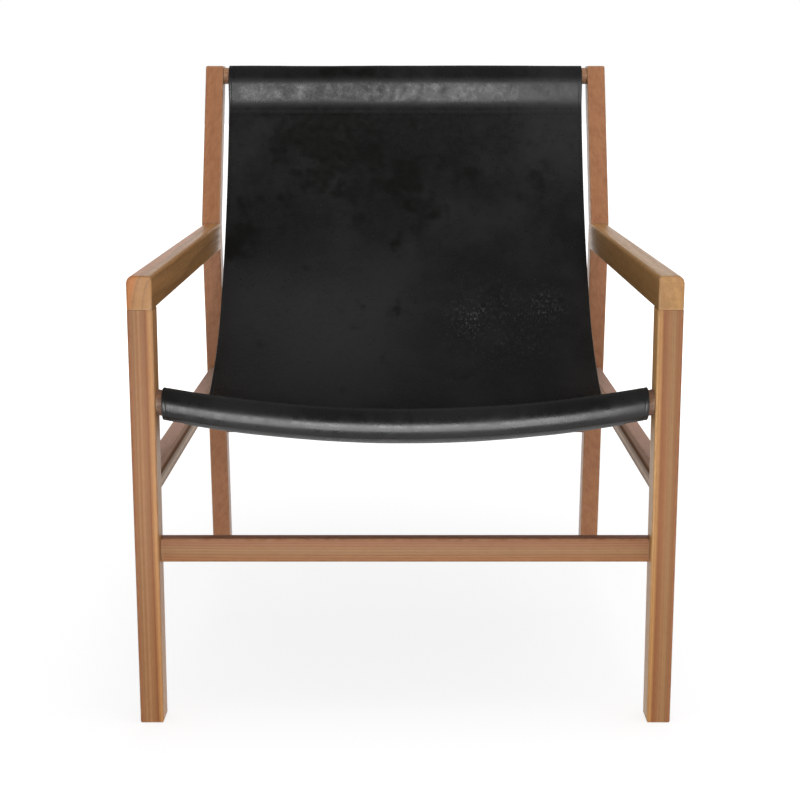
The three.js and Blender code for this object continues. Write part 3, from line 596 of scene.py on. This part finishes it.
def pale_pin_timber():
    material, tree, shader = new_material("pin_timber")
    place = object_place(tree)
    fleck = noise_mask(tree, place, *PIN_FLECKS)
    put(tree, shader["Base Color"], blend(tree, fleck, PALE_PIN, PIN_FLECK))
    put(tree, shader["Roughness"], ease(tree, fleck, 0.0, 1.0, *PIN_ROUGHNESS))
    put(tree, shader["Normal"], relief(tree, fleck, PIN_FLECK_DEPTH))
    return material


def dress_fastenings():
    zinc = brushed_metal("zinc_steel", ZINC, DULL_ZINC, ZINC_ROUGHNESS)
    brass = brushed_metal("brass_insert", BRASS, DULL_BRASS, BRASS_ROUGHNESS)
    pins = pale_pin_timber()
    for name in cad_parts:
        for kind, material in (("_bolt_", zinc), ("_insert_", brass), ("_pin_", pins)):
            if kind in name:
                dress(name, material)


# Leather

LEATHER_THICKNESS = 3.4 * MM
FRONT_ROLL_CLEARANCE = 0.9 * MM
FRONT_ROLL_DROOP = 0.4 * MM
TOP_ROLL_CLEARANCE = 0.4 * MM
TOP_ROLL_FRONT_REACH = 23 * MM
TOP_ROLL_FRONT_FALL = 30 * MM
TOP_FOLD_RISE = 8.5 * MM
FLAP_GAP = 0.4 * MM
HEM_LENGTH = 13 * MM
EDGE_ROUND = 1.2 * MM
PRESSED_LINE_INSET = 4.5 * MM
PRESSED_LINE_WIDTH = 0.5 * MM
PRESSED_LINE_DEPTH = 0.35 * MM
STITCH_ROWS = (2.6 * MM, 5.4 * MM)
STITCH_PITCH = 4.2 * MM
STITCH_LENGTH = 3.2 * MM
STITCH_RADIUS = 0.42 * MM
STITCH_INSET = 9 * MM
STITCH_PULL = 0.18 * MM
STITCH_PULL_WIDTH = 0.9 * MM
STITCH_STAND, STITCH_DIVE = 0.55, 1.9
STITCH_RINGS, THREAD_SIDES = 7, 8
BLUNT_END = 0.02
KINK_SOFTNESS = 2.2 * MM
TOP_FOLD_SOFTNESS = 7.5 * MM
TOP_FOLD_SOFT_REACH = 34 * MM
SLING_SOFTNESS = 9 * MM
FINE_STEP = 0.5 * MM
CURVE_POINTS, ARC_POINTS, EDGE_POINTS = 40, 60, 4
PLAIN_STATION_STEP = 6 * MM
TURN_AT_A_STATION = math.radians(5)
SEWN_STATION_STEP = 0.5 * MM
SEWN_STATION_REACH = 1.6 * MM
NORMAL_STEP = 1 * MM
WAVE_HEIGHT = 0.5 * MM
BROAD_WAVES, FINE_WAVES = 11, 27
FINE_WAVE_SHARE = 0.5

# Distances from a side edge at which the sheet has a line of points, and how many lie between the last two
EDGE_COLUMNS = (1.2, 2.2, 3.1, 3.6, 4.0, 4.25, 4.5, 4.75, 5.0, 5.4, 5.9, 6.8, 8.2, 10.5, 14, 19)
MIDDLE_COLUMNS = 82

# Where the leather's upper side lies at its side edges, from the front seam to the top seam: shares of
# the run from front rail to top rail, and of the rise between them.
SLING_PROFILE_SHARES = (
    (0.076, -0.046), (0.148, -0.114), (0.233, -0.168), (0.318, -0.209), (0.390, -0.234), (0.463, -0.231),
    (0.550, -0.186), (0.641, -0.099), (0.717, 0.009), (0.773, 0.134), (0.840, 0.306), (0.899, 0.511),
    (0.945, 0.716), (0.971, 0.860))
BOW_FADE_START_SHARE = 0.14
BOW_FADE_END_SHARE = 0.88

front_low, front_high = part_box("front_sling_rail")
top_low, top_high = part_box("top_sling_rail")
leather_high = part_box("leather_sling")[1]

FRONT_RADIUS = (front_high.y - front_low.y) / 2
FRONT_END = np.array([(front_low.y + front_high.y) / 2, front_high.z - FRONT_RADIUS])
FRONT_BOW = front_high.z - front_low.z - 2 * FRONT_RADIUS
FRONT_HALF_SPAN = front_high.x
TOP_RADIUS = (top_high.z - top_low.z) / 2
TOP_CENTRE = np.array([(top_low.y + top_high.y) / 2, (top_low.z + top_high.z) / 2])
LEATHER_HALF_WIDTH = leather_high.x


def rail_drop(x):
    """How far the front rail's middle line lies below its ends."""
    return FRONT_BOW * (1 - (x / FRONT_HALF_SPAN) ** 2)


def sling_drop(x, y):
    """How far the leather hangs below its side edges."""
    share = (y - FRONT_END[0]) / (TOP_CENTRE[0] - FRONT_END[0])
    fade = np.clip((share - BOW_FADE_START_SHARE) / (BOW_FADE_END_SHARE - BOW_FADE_START_SHARE), 0, 1)
    return (rail_drop(x) - rail_drop(LEATHER_HALF_WIDTH)) * (1 - fade * fade * (3 - 2 * fade))


def lengths_along(points):
    steps = np.linalg.norm(np.diff(points, axis=0), axis=1)
    return np.concatenate([[0], np.cumsum(steps)])


def respaced(points, step):
    """The same line with points about a step apart, both ends kept."""
    along = lengths_along(points)
    count = max(2, round(along[-1] / step) + 1)
    even = np.linspace(0, along[-1], count)
    return np.stack([np.interp(even, along, points[:, axis]) for axis in range(2)], axis=1)


def sling_profile():
    """A smooth curve through the profile's points."""
    shares = np.array(SLING_PROFILE_SHARES)
    points = FRONT_END + shares * (TOP_CENTRE - FRONT_END)
    padded = np.vstack([points[:1], points, points[-1:]])
    curve = []
    for before, start, end, after in zip(padded, padded[1:], padded[2:], padded[3:]):
        t = np.linspace(0, 1, CURVE_POINTS, endpoint=False)[:, None]
        leave, arrive = (end - before) / 2, (after - start) / 2
        curve.append((2 * start - 2 * end + leave + arrive) * t ** 3
                     + (3 * end - 3 * start - 2 * leave - arrive) * t ** 2 + leave * t + start)
    curve.append(points[-1:])
    return respaced(np.vstack(curve), FINE_STEP)


def softened(line, reach):
    """The line with its kinks rounded off; its ends stay."""
    step = lengths_along(line)[-1] / (len(line) - 1)
    half = math.ceil(3 * reach / step)
    weights = np.exp(-0.5 * (np.arange(-half, half + 1) * step / reach) ** 2)
    weights /= weights.sum()
    padded = np.vstack([2 * line[0] - line[half:0:-1], line, 2 * line[-1] - line[-2:-half - 2:-1]])
    return np.stack([np.convolve(padded[:, axis], weights, "valid") for axis in range(2)], axis=1)


def touch_angle(point, centre, radius, turn):
    away = point - centre
    return math.atan2(away[1], away[0]) + turn * math.acos(radius / np.linalg.norm(away))


def arc(centre, radius, start, end):
    """Points round a rail, turning left."""
    angles = start + np.linspace(0, (end - start) % (2 * math.pi), ARC_POINTS)
    return centre + radius * np.stack([np.cos(angles), np.sin(angles)], axis=1)


def flap(profile, at_end):
    """The folded-over end under the sheet: the seam's end first, then the hem's end."""
    line = profile[::-1] if at_end else profile
    hem = round(HEM_LENGTH / FINE_STEP)
    points = []
    for place in (0, hem):
        along = line[place + 1] - line[place]
        along = along / np.linalg.norm(along) * (-1 if at_end else 1)
        under = np.array([along[1], -along[0]])
        points.append(line[place] + under * (2 * LEATHER_THICKNESS + FLAP_GAP))
    return points


def sling_path():
    """The grain side's line at the sheet's side edges, from the top hem round to the front hem.

    Also how far along it each row of stitches lies.
    """
    profile = softened(sling_profile(), SLING_SOFTNESS)
    main = profile[::-1]
    top_radius = TOP_RADIUS + TOP_ROLL_CLEARANCE + LEATHER_THICKNESS
    top_flap, top_hem = flap(profile, True)
    top_back_arc = arc(TOP_CENTRE, top_radius, touch_angle(top_flap, TOP_CENTRE, top_radius, 1), math.pi / 2)
    # In front the loop stands off the rail: a quarter ellipse from its highest point, then down to the fold.
    loose_size = np.array([TOP_ROLL_FRONT_REACH, TOP_ROLL_FRONT_FALL])
    loose_centre = TOP_CENTRE + np.array([0, top_radius - TOP_ROLL_FRONT_FALL])
    top_front_arc = loose_centre + loose_size * arc(np.zeros(2), 1, math.pi / 2, math.pi)[1:]
    uphill = (main[0] - main[1]) / np.linalg.norm(main[0] - main[1])
    fold = main[0] + uphill * TOP_FOLD_RISE
    top_arc = np.vstack([top_back_arc, top_front_arc, fold])
    front_centre = FRONT_END - np.array([0, rail_drop(LEATHER_HALF_WIDTH) + FRONT_ROLL_DROOP])
    front_radius = FRONT_RADIUS + FRONT_ROLL_CLEARANCE + LEATHER_THICKNESS
    front_flap, front_hem = flap(profile, False)
    front_arc = arc(front_centre, front_radius, touch_angle(main[-1], front_centre, front_radius, 1),
                    touch_angle(front_flap, front_centre, front_radius, -1))
    stretches = [np.stack([top_hem, top_flap]), top_arc, main, front_arc, np.stack([front_flap, front_hem])]
    line = np.vstack(stretches)
    along = lengths_along(line)
    counts = np.cumsum([len(stretch) for stretch in stretches])
    seams = (along[1], along[counts[1]], along[counts[2] - 1], along[counts[3]])
    rows = [seam + way * row for seam, way in zip(seams, (-1, 1, -1, 1)) for row in STITCH_ROWS]
    line = respaced(line, FINE_STEP)
    crisp, soft = softened(line, KINK_SOFTNESS), softened(line, TOP_FOLD_SOFTNESS)
    from_fold = lengths_along(line) - (seams[1] - TOP_FOLD_RISE)
    return crisp + (soft - crisp) * np.exp(-(from_fold / TOP_FOLD_SOFT_REACH) ** 2)[:, None], rows


def stations(line, rows):
    """Places along the path: close together where it turns or is stitched, wider apart elsewhere."""
    along = lengths_along(line)
    heading = np.unwrap(np.arctan2(np.gradient(line[:, 1]), np.gradient(line[:, 0])))
    turning = np.abs(np.gradient(heading, along))
    density = 1 / PLAIN_STATION_STEP + turning / TURN_AT_A_STATION
    for row in rows:
        density += np.exp(-((along - row) / SEWN_STATION_REACH) ** 2) / SEWN_STATION_STEP
    total = np.concatenate([[0], np.cumsum((density[1:] + density[:-1]) / 2 * np.diff(along))])
    return np.interp(np.linspace(0, total[-1], math.ceil(total[-1]) + 1), total, along)


def columns():
    """Places across the sheet: close together at the pressed lines beside its edges."""
    left = np.array(EDGE_COLUMNS) * MM - LEATHER_HALF_WIDTH
    middle = np.linspace(left[-1], -left[-1], MIDDLE_COLUMNS + 2)[1:-1]
    return np.concatenate([left, middle, -left[::-1]])


def sling_surface(x, s, line, rows):
    """Points on the grain side and their normals in the YZ plane, for arrays of places across and along."""
    along = lengths_along(line)

    def lifted(s):
        y = np.interp(s, along, line[:, 0])
        z = np.interp(s, along, line[:, 1])
        return y, z - sling_drop(x, y)

    y, z = lifted(s)
    before = lifted(np.maximum(s - NORMAL_STEP, 0))
    after = lifted(np.minimum(s + NORMAL_STEP, along[-1]))
    run, rise = after[0] - before[0], after[1] - before[1]
    length = np.hypot(run, rise)
    normal_y, normal_z = rise / length, -run / length
    sunk = PRESSED_LINE_DEPTH * np.exp(-((LEATHER_HALF_WIDTH - np.abs(x) - PRESSED_LINE_INSET)
                                         / PRESSED_LINE_WIDTH) ** 2)
    for row in rows:
        sunk = sunk + STITCH_PULL * np.exp(-((s - row) / STITCH_PULL_WIDTH) ** 2)
    return np.stack([x, y, z], -1), np.stack([np.zeros_like(x), normal_y, normal_z], -1), sunk


def wave(point):
    """The slight unevenness of the hide, the same through its thickness."""
    fine = FINE_WAVE_SHARE * solid_noise.noise(point * FINE_WAVES)
    return WAVE_HEIGHT * (solid_noise.noise(point * BROAD_WAVES) + fine)


GRAIN, FLESH, CUT_EDGE = range(3)


def rounded_edge(base, normal, waves, side):
    """A side edge's lines of points, from the grain side to the flesh side."""
    points = []
    for turn in np.linspace(0, 1, EDGE_POINTS):
        angle = turn * math.pi / 2
        points.append((math.sin(angle) * EDGE_ROUND, (1 - math.cos(angle)) * EDGE_ROUND))
    points += [(out, LEATHER_THICKNESS - depth) for out, depth in reversed(points)]
    return np.stack([base + normal * (waves - depth)[:, None] + np.array([side * out, 0, 0])
                     for out, depth in points[1:-1]], axis=1)


def sheet_faces(count, span, edge_span):
    """The faces between loops of points round the sheet, and each face's kind.

    A loop has span points on the grain side, edge_span on the right edge, and then as many on the flesh side
    and the left edge.
    """
    around = 2 * (span + edge_span)
    flesh_start = span + edge_span
    loop_kinds = [GRAIN] * (span - 1) + [CUT_EDGE] * (edge_span + 1)
    loop_kinds += [FLESH] * (span - 1) + [CUT_EDGE] * (edge_span + 1)
    faces, kinds = [], []
    for station in range(count - 1):
        for place in range(around):
            following = (place + 1) % around
            faces.append((station * around + place, station * around + following,
                          (station + 1) * around + following, (station + 1) * around + place))
        kinds += loop_kinds
    last = (count - 1) * around
    for place in range(span - 1):
        across = flesh_start + span - 1 - place
        faces.append((place, across, across - 1, place + 1))
        faces.append((last + place, last + place + 1, last + across - 1, last + across))
    right_cap = list(range(span - 1, flesh_start + 1))
    left_cap = [0] + list(range(around - 1, flesh_start + span - 2, -1))
    faces += [right_cap[::-1], [last + p for p in right_cap], left_cap, [last + p for p in left_cap[::-1]]]
    kinds += [CUT_EDGE] * (len(faces) - len(kinds))
    return [face[::-1] for face in faces], kinds


def leather_sheet(line, rows, materials):
    """The leather with its thickness, and its length from hem to hem."""
    s = stations(line, rows)
    x = columns()
    base, normal, sunk = sling_surface(*np.meshgrid(x, s), line, rows)
    waves = np.array([[wave(Vector(point)) for point in across] for across in base])
    grain = base + normal * (waves - sunk)[..., None]
    flesh = base + normal * (waves - LEATHER_THICKNESS)[..., None]
    right, left = (rounded_edge(base[:, here], normal[:, here], waves[:, here], side)
                   for here, side in ((-1, 1), (0, -1)))
    loops = np.concatenate([grain, right, flesh[:, ::-1], left[:, ::-1]], axis=1)
    faces, kinds = sheet_faces(len(s), len(x), right.shape[1])
    return new_piece("leather_sling_sheet", loops.reshape(-1, 3).tolist(), faces, materials, kinds), s[-1]


def stitches(line, rows, material):
    """Short stitches in rows, each a thread that dips into the leather at both ends."""
    reach = LEATHER_HALF_WIDTH - STITCH_INSET
    middles = np.linspace(-reach, reach, round(2 * reach / STITCH_PITCH))
    steps = np.linspace(-1, 1, STITCH_RINGS)
    around = np.linspace(0, 2 * math.pi, THREAD_SIDES, endpoint=False)
    thickness = STITCH_RADIUS * np.sqrt(np.clip(1 + BLUNT_END - steps ** 2, BLUNT_END, 1)) ** 0.5
    points, faces = [], []
    for row in rows:
        for middle in middles:
            x = middle + steps * STITCH_LENGTH / 2
            base, normal, _ = sling_surface(x, np.full_like(x, row), line, rows)
            lift = STITCH_RADIUS * (STITCH_STAND - STITCH_DIVE * steps ** 4) - STITCH_PULL
            lift = lift + np.array([wave(Vector(point)) for point in base])
            centre = base + normal * lift[:, None]
            across = np.cross(normal, np.array([1.0, 0, 0]))
            start = len(points)
            for ring, thick in enumerate(thickness):
                for angle in around:
                    out = math.cos(angle) * normal[ring] + math.sin(angle) * across[ring]
                    points.append(tuple(centre[ring] + thick * out))
            for ring in range(start, start + (STITCH_RINGS - 1) * THREAD_SIDES, THREAD_SIDES):
                for k in range(THREAD_SIDES):
                    a, b = ring + k, ring + (k + 1) % THREAD_SIDES
                    faces.append((a, b, b + THREAD_SIDES, a + THREAD_SIDES))
            faces.append(tuple(range(start, start + THREAD_SIDES))[::-1])
            faces.append(tuple(range(len(points) - THREAD_SIDES, len(points))))
    return new_piece("leather_seam_stitches", points, faces, (material,))


# The leather's finish

CLOUD_MASK = (6.5, 5.0, 0.6, 0.36, 0.64)
BLOTCH_NOISE = (19.0, 5.0, 0.62)
MOTTLE_MASK = (84.0, 4.0, 0.6, 0.15, 0.85)
SPECKLE_MASK = (190.0, 2.0, 0.5, 0.15, 0.85)
PEBBLE_SCALE = 780.0
PEBBLE_TOP, PEBBLE_RIM = 0.05, 0.6
CREASE_SCALE = 150.0
CREASE_WIDTH = 0.09


def hide_group():
    """What a waxed hide shows: clouds of tone, uneven wax, fine speckle, pebbled grain and fine creases."""
    group, given, out = new_group(
        "hide", {"Place": "vector"},
        {"Cloud": "value", "Blotch": "value", "Mottle": "value", "Speckle": "value", "Pebble": "value",
         "Crease": "value"})
    place = given["Place"]
    put(group, out["Cloud"], noise_mask(group, place, *CLOUD_MASK))
    put(group, out["Blotch"], cloud(group, place, *BLOTCH_NOISE))
    put(group, out["Mottle"], noise_mask(group, place, *MOTTLE_MASK))
    put(group, out["Speckle"], noise_mask(group, place, *SPECKLE_MASK))
    cells = add_node(group, "ShaderNodeTexVoronoi", feature="SMOOTH_F1")
    put(group, cells.inputs["Vector"], place)
    cells.inputs["Scale"].default_value = PEBBLE_SCALE
    put(group, out["Pebble"], ease(group, cells.outputs["Distance"], PEBBLE_TOP, PEBBLE_RIM, 1.0, 0.0))
    creases = add_node(group, "ShaderNodeTexVoronoi", feature="DISTANCE_TO_EDGE")
    put(group, creases.inputs["Vector"], place)
    creases.inputs["Scale"].default_value = CREASE_SCALE
    put(group, out["Crease"], ease(group, creases.outputs["Distance"], 0.0, CREASE_WIDTH, 1.0, 0.0))
    return group


HIDE = hide_group()

# Where the hide is blotched, paler and scuffed: centre, radius and strength
BLOTCHED_SPOTS = (
    ((-0.12, 0.379, 0.729), 0.23, 1.45), ((0.034, 0.33, 0.62), 0.15, 0.9), ((-0.255, 0.29, 0.55), 0.12, 0.75),
    ((-0.03, 0.268, 0.517), 0.09, 0.7), ((0.2, 0.343, 0.644), 0.1, 0.7))
PALE_SPOTS = (((-0.137, 0.15, 0.39), 0.26, 1.0), ((0.28, 0.375, 0.72), 0.16, 0.6))
SCUFFED_SPOTS = (
    ((0.107, 0.19, 0.425), 0.06, 1.0), ((0.224, 0.208, 0.445), 0.05, 0.8), ((0.15, 0.18, 0.41), 0.14, 0.35))

HIDE_BLACK = (0.0066, 0.0066, 0.0064, 1)
HIDE_CLOUD = (0.0126, 0.0125, 0.0125, 1)
HIDE_PALE = (0.0235, 0.0235, 0.0237, 1)
HIDE_BLOTCH = (0.0016, 0.0016, 0.001, 1)
HIDE_SCUFF = (0.14, 0.14, 0.142, 1)
PALE_SHARE = 0.8
BLOTCH_LEAD = 0.22
BLOTCH_START, BLOTCH_FULL = 0.6, 0.78
BLOTCH_SHARE = 0.92
SCUFF_MASK = ((300.0, 170.0, 170.0), 6.0, 0.72, 0.52, 0.68)
SCUFF_SHARE = 0.6
HIDE_IOR = 1.38
WAX_ROUGHNESS = 0.16
CLOUD_ROUGHER, MOTTLE_ROUGHER, SPECKLE_ROUGHER = 0.06, 0.2, 0.05
BLOTCH_ROUGHER, SCUFF_ROUGHER = 0.08, 0.12
GRAZED_ROUGHNESS = 0.36
GRAZING_START, GRAZING_END = 0.5, 0.9
PEBBLE_HEIGHT, CREASE_HEIGHT = 0.22, 0.06
GRAIN_DEPTH = 0.1 * MM
NAP_BLACK, NAP_GREY = (0.009, 0.0085, 0.008, 1), (0.02, 0.019, 0.018, 1)
NAP_CLOUD = (0.012, 0.011, 0.01, 1)
NAP_CLOUD_SHARE = 0.4
NAP_SHEEN, NAP_SHEEN_ROUGHNESS = 0.12, 0.5
NAP_ROUGHNESS = (0.78, 0.92)
NAP_MASK = (900.0, 5.0, 0.7, 0.3, 0.7)
NAP_DEPTH = 0.2 * MM
CUT_EDGE_BLACK, CUT_EDGE_BROWN = (0.0045, 0.0042, 0.004, 1), (0.012, 0.011, 0.01, 1)
CUT_EDGE_ROUGHNESS = (0.42, 0.6)
CUT_EDGE_LAYERS = ((220.0, 900.0, 900.0), 4.0, 0.6, 0.3, 0.7)
CUT_EDGE_DEPTH = 0.06 * MM
THREAD_BLACK, THREAD_GREY = (0.004, 0.004, 0.004, 1), (0.01, 0.01, 0.01, 1)
THREAD_ROUGHNESS = (0.85, 0.72)
THREAD_TWIST = 9000.0
THREAD_DEPTH = 0.05 * MM


def patch(tree, place, centre, radius):
    """A soft round mask about a point."""
    away = vector_maths(tree, "SUBTRACT", place, centre)
    distance = add_node(tree, "ShaderNodeVectorMath", away, operation="LENGTH").outputs["Value"]
    return ease(tree, distance, 0.0, radius, 1.0, 0.0)


def patches(tree, place, spots):
    """The strongest of several soft round masks, each given as centre, radius and strength."""
    masks = [maths(tree, "MULTIPLY", patch(tree, place, centre, radius), strength)
             for centre, radius, strength in spots]
    strongest = masks[0]
    for mask in masks[1:]:
        strongest = maths(tree, "MAXIMUM", strongest, mask)
    return strongest


def grain_leather():
    """The hide's outer side: near black, waxed, cloudy in its gloss, a little scuffed."""
    material, tree, shader = new_material("black_grain_leather")
    place = object_place(tree)
    hide = use_group(tree, HIDE, Place=place)
    colour = blend(tree, hide["Cloud"], HIDE_BLACK, HIDE_CLOUD)
    pale = maths(tree, "MULTIPLY", patches(tree, place, PALE_SPOTS), PALE_SHARE)
    colour = blend(tree, pale, colour, HIDE_PALE)
    lead = maths(tree, "MULTIPLY", patches(tree, place, BLOTCHED_SPOTS), BLOTCH_LEAD)
    blotch = ease(tree, maths(tree, "ADD", hide["Blotch"], lead), BLOTCH_START, BLOTCH_FULL)
    colour = blend(tree, maths(tree, "MULTIPLY", blotch, BLOTCH_SHARE), colour, HIDE_BLOTCH)
    scuffs = noise_mask(tree, place, *SCUFF_MASK)
    scuffs = maths(tree, "MULTIPLY", scuffs, patches(tree, place, SCUFFED_SPOTS))
    colour = blend(tree, maths(tree, "MULTIPLY", scuffs, SCUFF_SHARE), colour, HIDE_SCUFF)
    put(tree, shader["Base Color"], colour)
    shader["IOR"].default_value = HIDE_IOR
    rough = WAX_ROUGHNESS
    for mask, more in ((hide["Cloud"], CLOUD_ROUGHER), (hide["Mottle"], MOTTLE_ROUGHER),
                       (hide["Speckle"], SPECKLE_ROUGHER), (blotch, BLOTCH_ROUGHER), (scuffs, SCUFF_ROUGHER)):
        rough = maths(tree, "ADD", rough, maths(tree, "MULTIPLY", mask, more))
    facing = tree.nodes.new("ShaderNodeLayerWeight").outputs["Facing"]
    grazed = ease(tree, facing, GRAZING_START, GRAZING_END, 0.0, GRAZED_ROUGHNESS)
    put(tree, shader["Roughness"], maths(tree, "ADD", rough, grazed))
    pebbles = maths(tree, "MULTIPLY", hide["Pebble"], PEBBLE_HEIGHT)
    creases = maths(tree, "MULTIPLY", hide["Crease"], CREASE_HEIGHT)
    put(tree, shader["Normal"], relief(tree, maths(tree, "SUBTRACT", pebbles, creases), GRAIN_DEPTH))
    return material


def flesh_leather():
    """The hide's inner side: a dark nap."""
    material, tree, shader = new_material("black_flesh_leather")
    place = object_place(tree)
    hide = use_group(tree, HIDE, Place=place)
    nap = noise_mask(tree, place, *NAP_MASK)
    colour = blend(tree, nap, NAP_BLACK, NAP_GREY)
    colour = blend(tree, maths(tree, "MULTIPLY", hide["Cloud"], NAP_CLOUD_SHARE), colour, NAP_CLOUD)
    put(tree, shader["Base Color"], colour)
    put(tree, shader["Roughness"], ease(tree, nap, 0.0, 1.0, *NAP_ROUGHNESS))
    put(tree, shader["Normal"], relief(tree, nap, NAP_DEPTH))
    shader["Sheen Weight"].default_value = NAP_SHEEN
    shader["Sheen Roughness"].default_value = NAP_SHEEN_ROUGHNESS
    return material


def edge_leather():
    """The cut edge, dyed and burnished."""
    material, tree, shader = new_material("black_edge_leather")
    place = object_place(tree)
    layers = noise_mask(tree, place, *CUT_EDGE_LAYERS)
    put(tree, shader["Base Color"], blend(tree, layers, CUT_EDGE_BLACK, CUT_EDGE_BROWN))
    put(tree, shader["Roughness"], ease(tree, layers, 0.0, 1.0, *CUT_EDGE_ROUGHNESS))
    put(tree, shader["Normal"], relief(tree, layers, CUT_EDGE_DEPTH))
    return material


def seam_thread():
    material, tree, shader = new_material("black_seam_thread")
    place = object_place(tree)
    x, _, z = split(tree, place)
    x, z = (maths(tree, "MULTIPLY", along, THREAD_TWIST) for along in (x, z))
    twist = ease(tree, maths(tree, "SINE", maths(tree, "ADD", x, z)), -1.0, 1.0)
    put(tree, shader["Base Color"], blend(tree, twist, THREAD_BLACK, THREAD_GREY))
    put(tree, shader["Roughness"], ease(tree, twist, 0.0, 1.0, *THREAD_ROUGHNESS))
    put(tree, shader["Normal"], relief(tree, twist, THREAD_DEPTH))
    return material


def add_leather():
    line, rows = sling_path()
    sheet, cut_length = leather_sheet(line, rows, (grain_leather(), flesh_leather(), edge_leather()))
    thread = stitches(line, rows, seam_thread())
    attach(sheet, "root")
    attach(thread, "root")
    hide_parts("leather_sling")


# Studio

BACKDROP_LEVEL = 1.0
CEILING_LEVEL = 0.18
# Height of a direction of length 1 at which the backdrop ends, and at which the ceiling starts
BACKDROP_TOP = math.sin(math.radians(17))
CEILING_START = math.sin(math.radians(31))
FLOOR_NEAR_WHITE = 0.78
FLOOR_FAR_WHITE = 1.15
FLOOR_NEAR = 0.8
FLOOR_FAR = 2.2
FLOOR_SHADED = 0.36
FLOOR_BOUNCE = 0.86
FLOOR_HALF_SIZE = 30
FLOOR_DROP = 0.2 * MM

# Each lamp's name, place, what it faces, width and height, watts, and whether it shows in gloss
LAMPS = (
    ("low_softbox", (-0.03, -0.86, 0.21), (-0.03, 0, 0.21), (0.7, 0.3), 5.3, True),
    ("front_softbox", (-0.1, -2.7, 0.46), (-0.1, 0, 0.46), (1.1, 0.72), 29.5, True),
    ("front_fill", (0.4, -9, 0.42), (0, 0, 0.42), (5, 1.4), 400, False),
    ("ceiling_fill", (0.4, -0.4, 3.2), (0, 0, 0), (3.5, 3.5), 50, False),
    ("rear_fill", (0, 3.5, 1.2), (0, 0, 0.5), (3, 2), 34, False),
)


def seen_directly(tree):
    """1 for what the camera sees, itself or in gloss or through glass."""
    path = tree.nodes.new("ShaderNodeLightPath").outputs
    either = maths(tree, "MAXIMUM", path["Is Camera Ray"], path["Is Glossy Ray"])
    return maths(tree, "MAXIMUM", either, path["Is Transmission Ray"])


def add_world():
    """A white backdrop under a dimmer ceiling."""
    world = bpy.data.worlds.new("studio")
    SCENE.world = world
    world.use_nodes = True
    tree = world.node_tree
    height = split(tree, tree.nodes.new("ShaderNodeTexCoord").outputs["Generated"])[2]
    level = ease(tree, height, BACKDROP_TOP, CEILING_START, BACKDROP_LEVEL, CEILING_LEVEL)
    put(tree, tree.nodes["Background"].inputs["Color"], (1, 1, 1, 1))
    put(tree, tree.nodes["Background"].inputs["Strength"], level)


def add_floor():
    """A plain pale floor that looks white and keeps the chair's shadow."""
    material = bpy.data.materials.new("pale_floor")
    material.use_nodes = True
    tree = material.node_tree
    tree.nodes.remove(tree.nodes["Principled BSDF"])
    bounce = add_node(tree, "ShaderNodeBsdfDiffuse", (FLOOR_BOUNCE,) * 3 + (1,)).outputs[0]
    shaded = add_node(tree, "ShaderNodeBsdfDiffuse", (FLOOR_SHADED,) * 3 + (1,)).outputs[0]
    away = add_node(tree, "ShaderNodeVectorMath", object_place(tree), operation="LENGTH").outputs["Value"]
    level = ease(tree, away, FLOOR_NEAR, FLOOR_FAR, FLOOR_NEAR_WHITE, FLOOR_FAR_WHITE)
    white = add_node(tree, "ShaderNodeEmission", (1, 1, 1, 1), level).outputs[0]
    looked_at = add_node(tree, "ShaderNodeAddShader", shaded, white).outputs[0]
    mixed = add_node(tree, "ShaderNodeMixShader", seen_directly(tree), bounce, looked_at).outputs[0]
    put(tree, tree.nodes["Material Output"].inputs["Surface"], mixed)
    far = FLOOR_HALF_SIZE
    corners = [(-far, -far, 0), (far, -far, 0), (far, far, 0), (-far, far, 0)]
    floor = new_piece("studio_floor", corners, [(0, 1, 2, 3)], (material,), smooth=False)
    floor.location.z = -FLOOR_DROP


def add_lamp(name, place, target, size, watts, in_gloss):
    """A soft rectangular lamp that faces its target and shows either only in gloss or only as plain light."""
    data = bpy.data.lights.new(name, "AREA")
    data.shape = "RECTANGLE"
    data.size, data.size_y = size
    data.energy = watts
    lamp = bpy.data.objects.new(name, data)
    lamp.location = place
    lamp.rotation_euler = (Vector(target) - Vector(place)).to_track_quat("-Z", "Y").to_euler()
    lamp.visible_camera = False
    lamp.visible_glossy = in_gloss
    lamp.visible_diffuse = not in_gloss
    SCENE.collection.objects.link(lamp)


def add_studio():
    add_world()
    add_floor()
    for lamp in LAMPS:
        add_lamp(*lamp)


SCENE.view_settings.view_transform = "Standard"
add_camera()
dress_timber()
dress_fastenings()
add_leather()
add_studio()

bpy.context.view_layer.update()
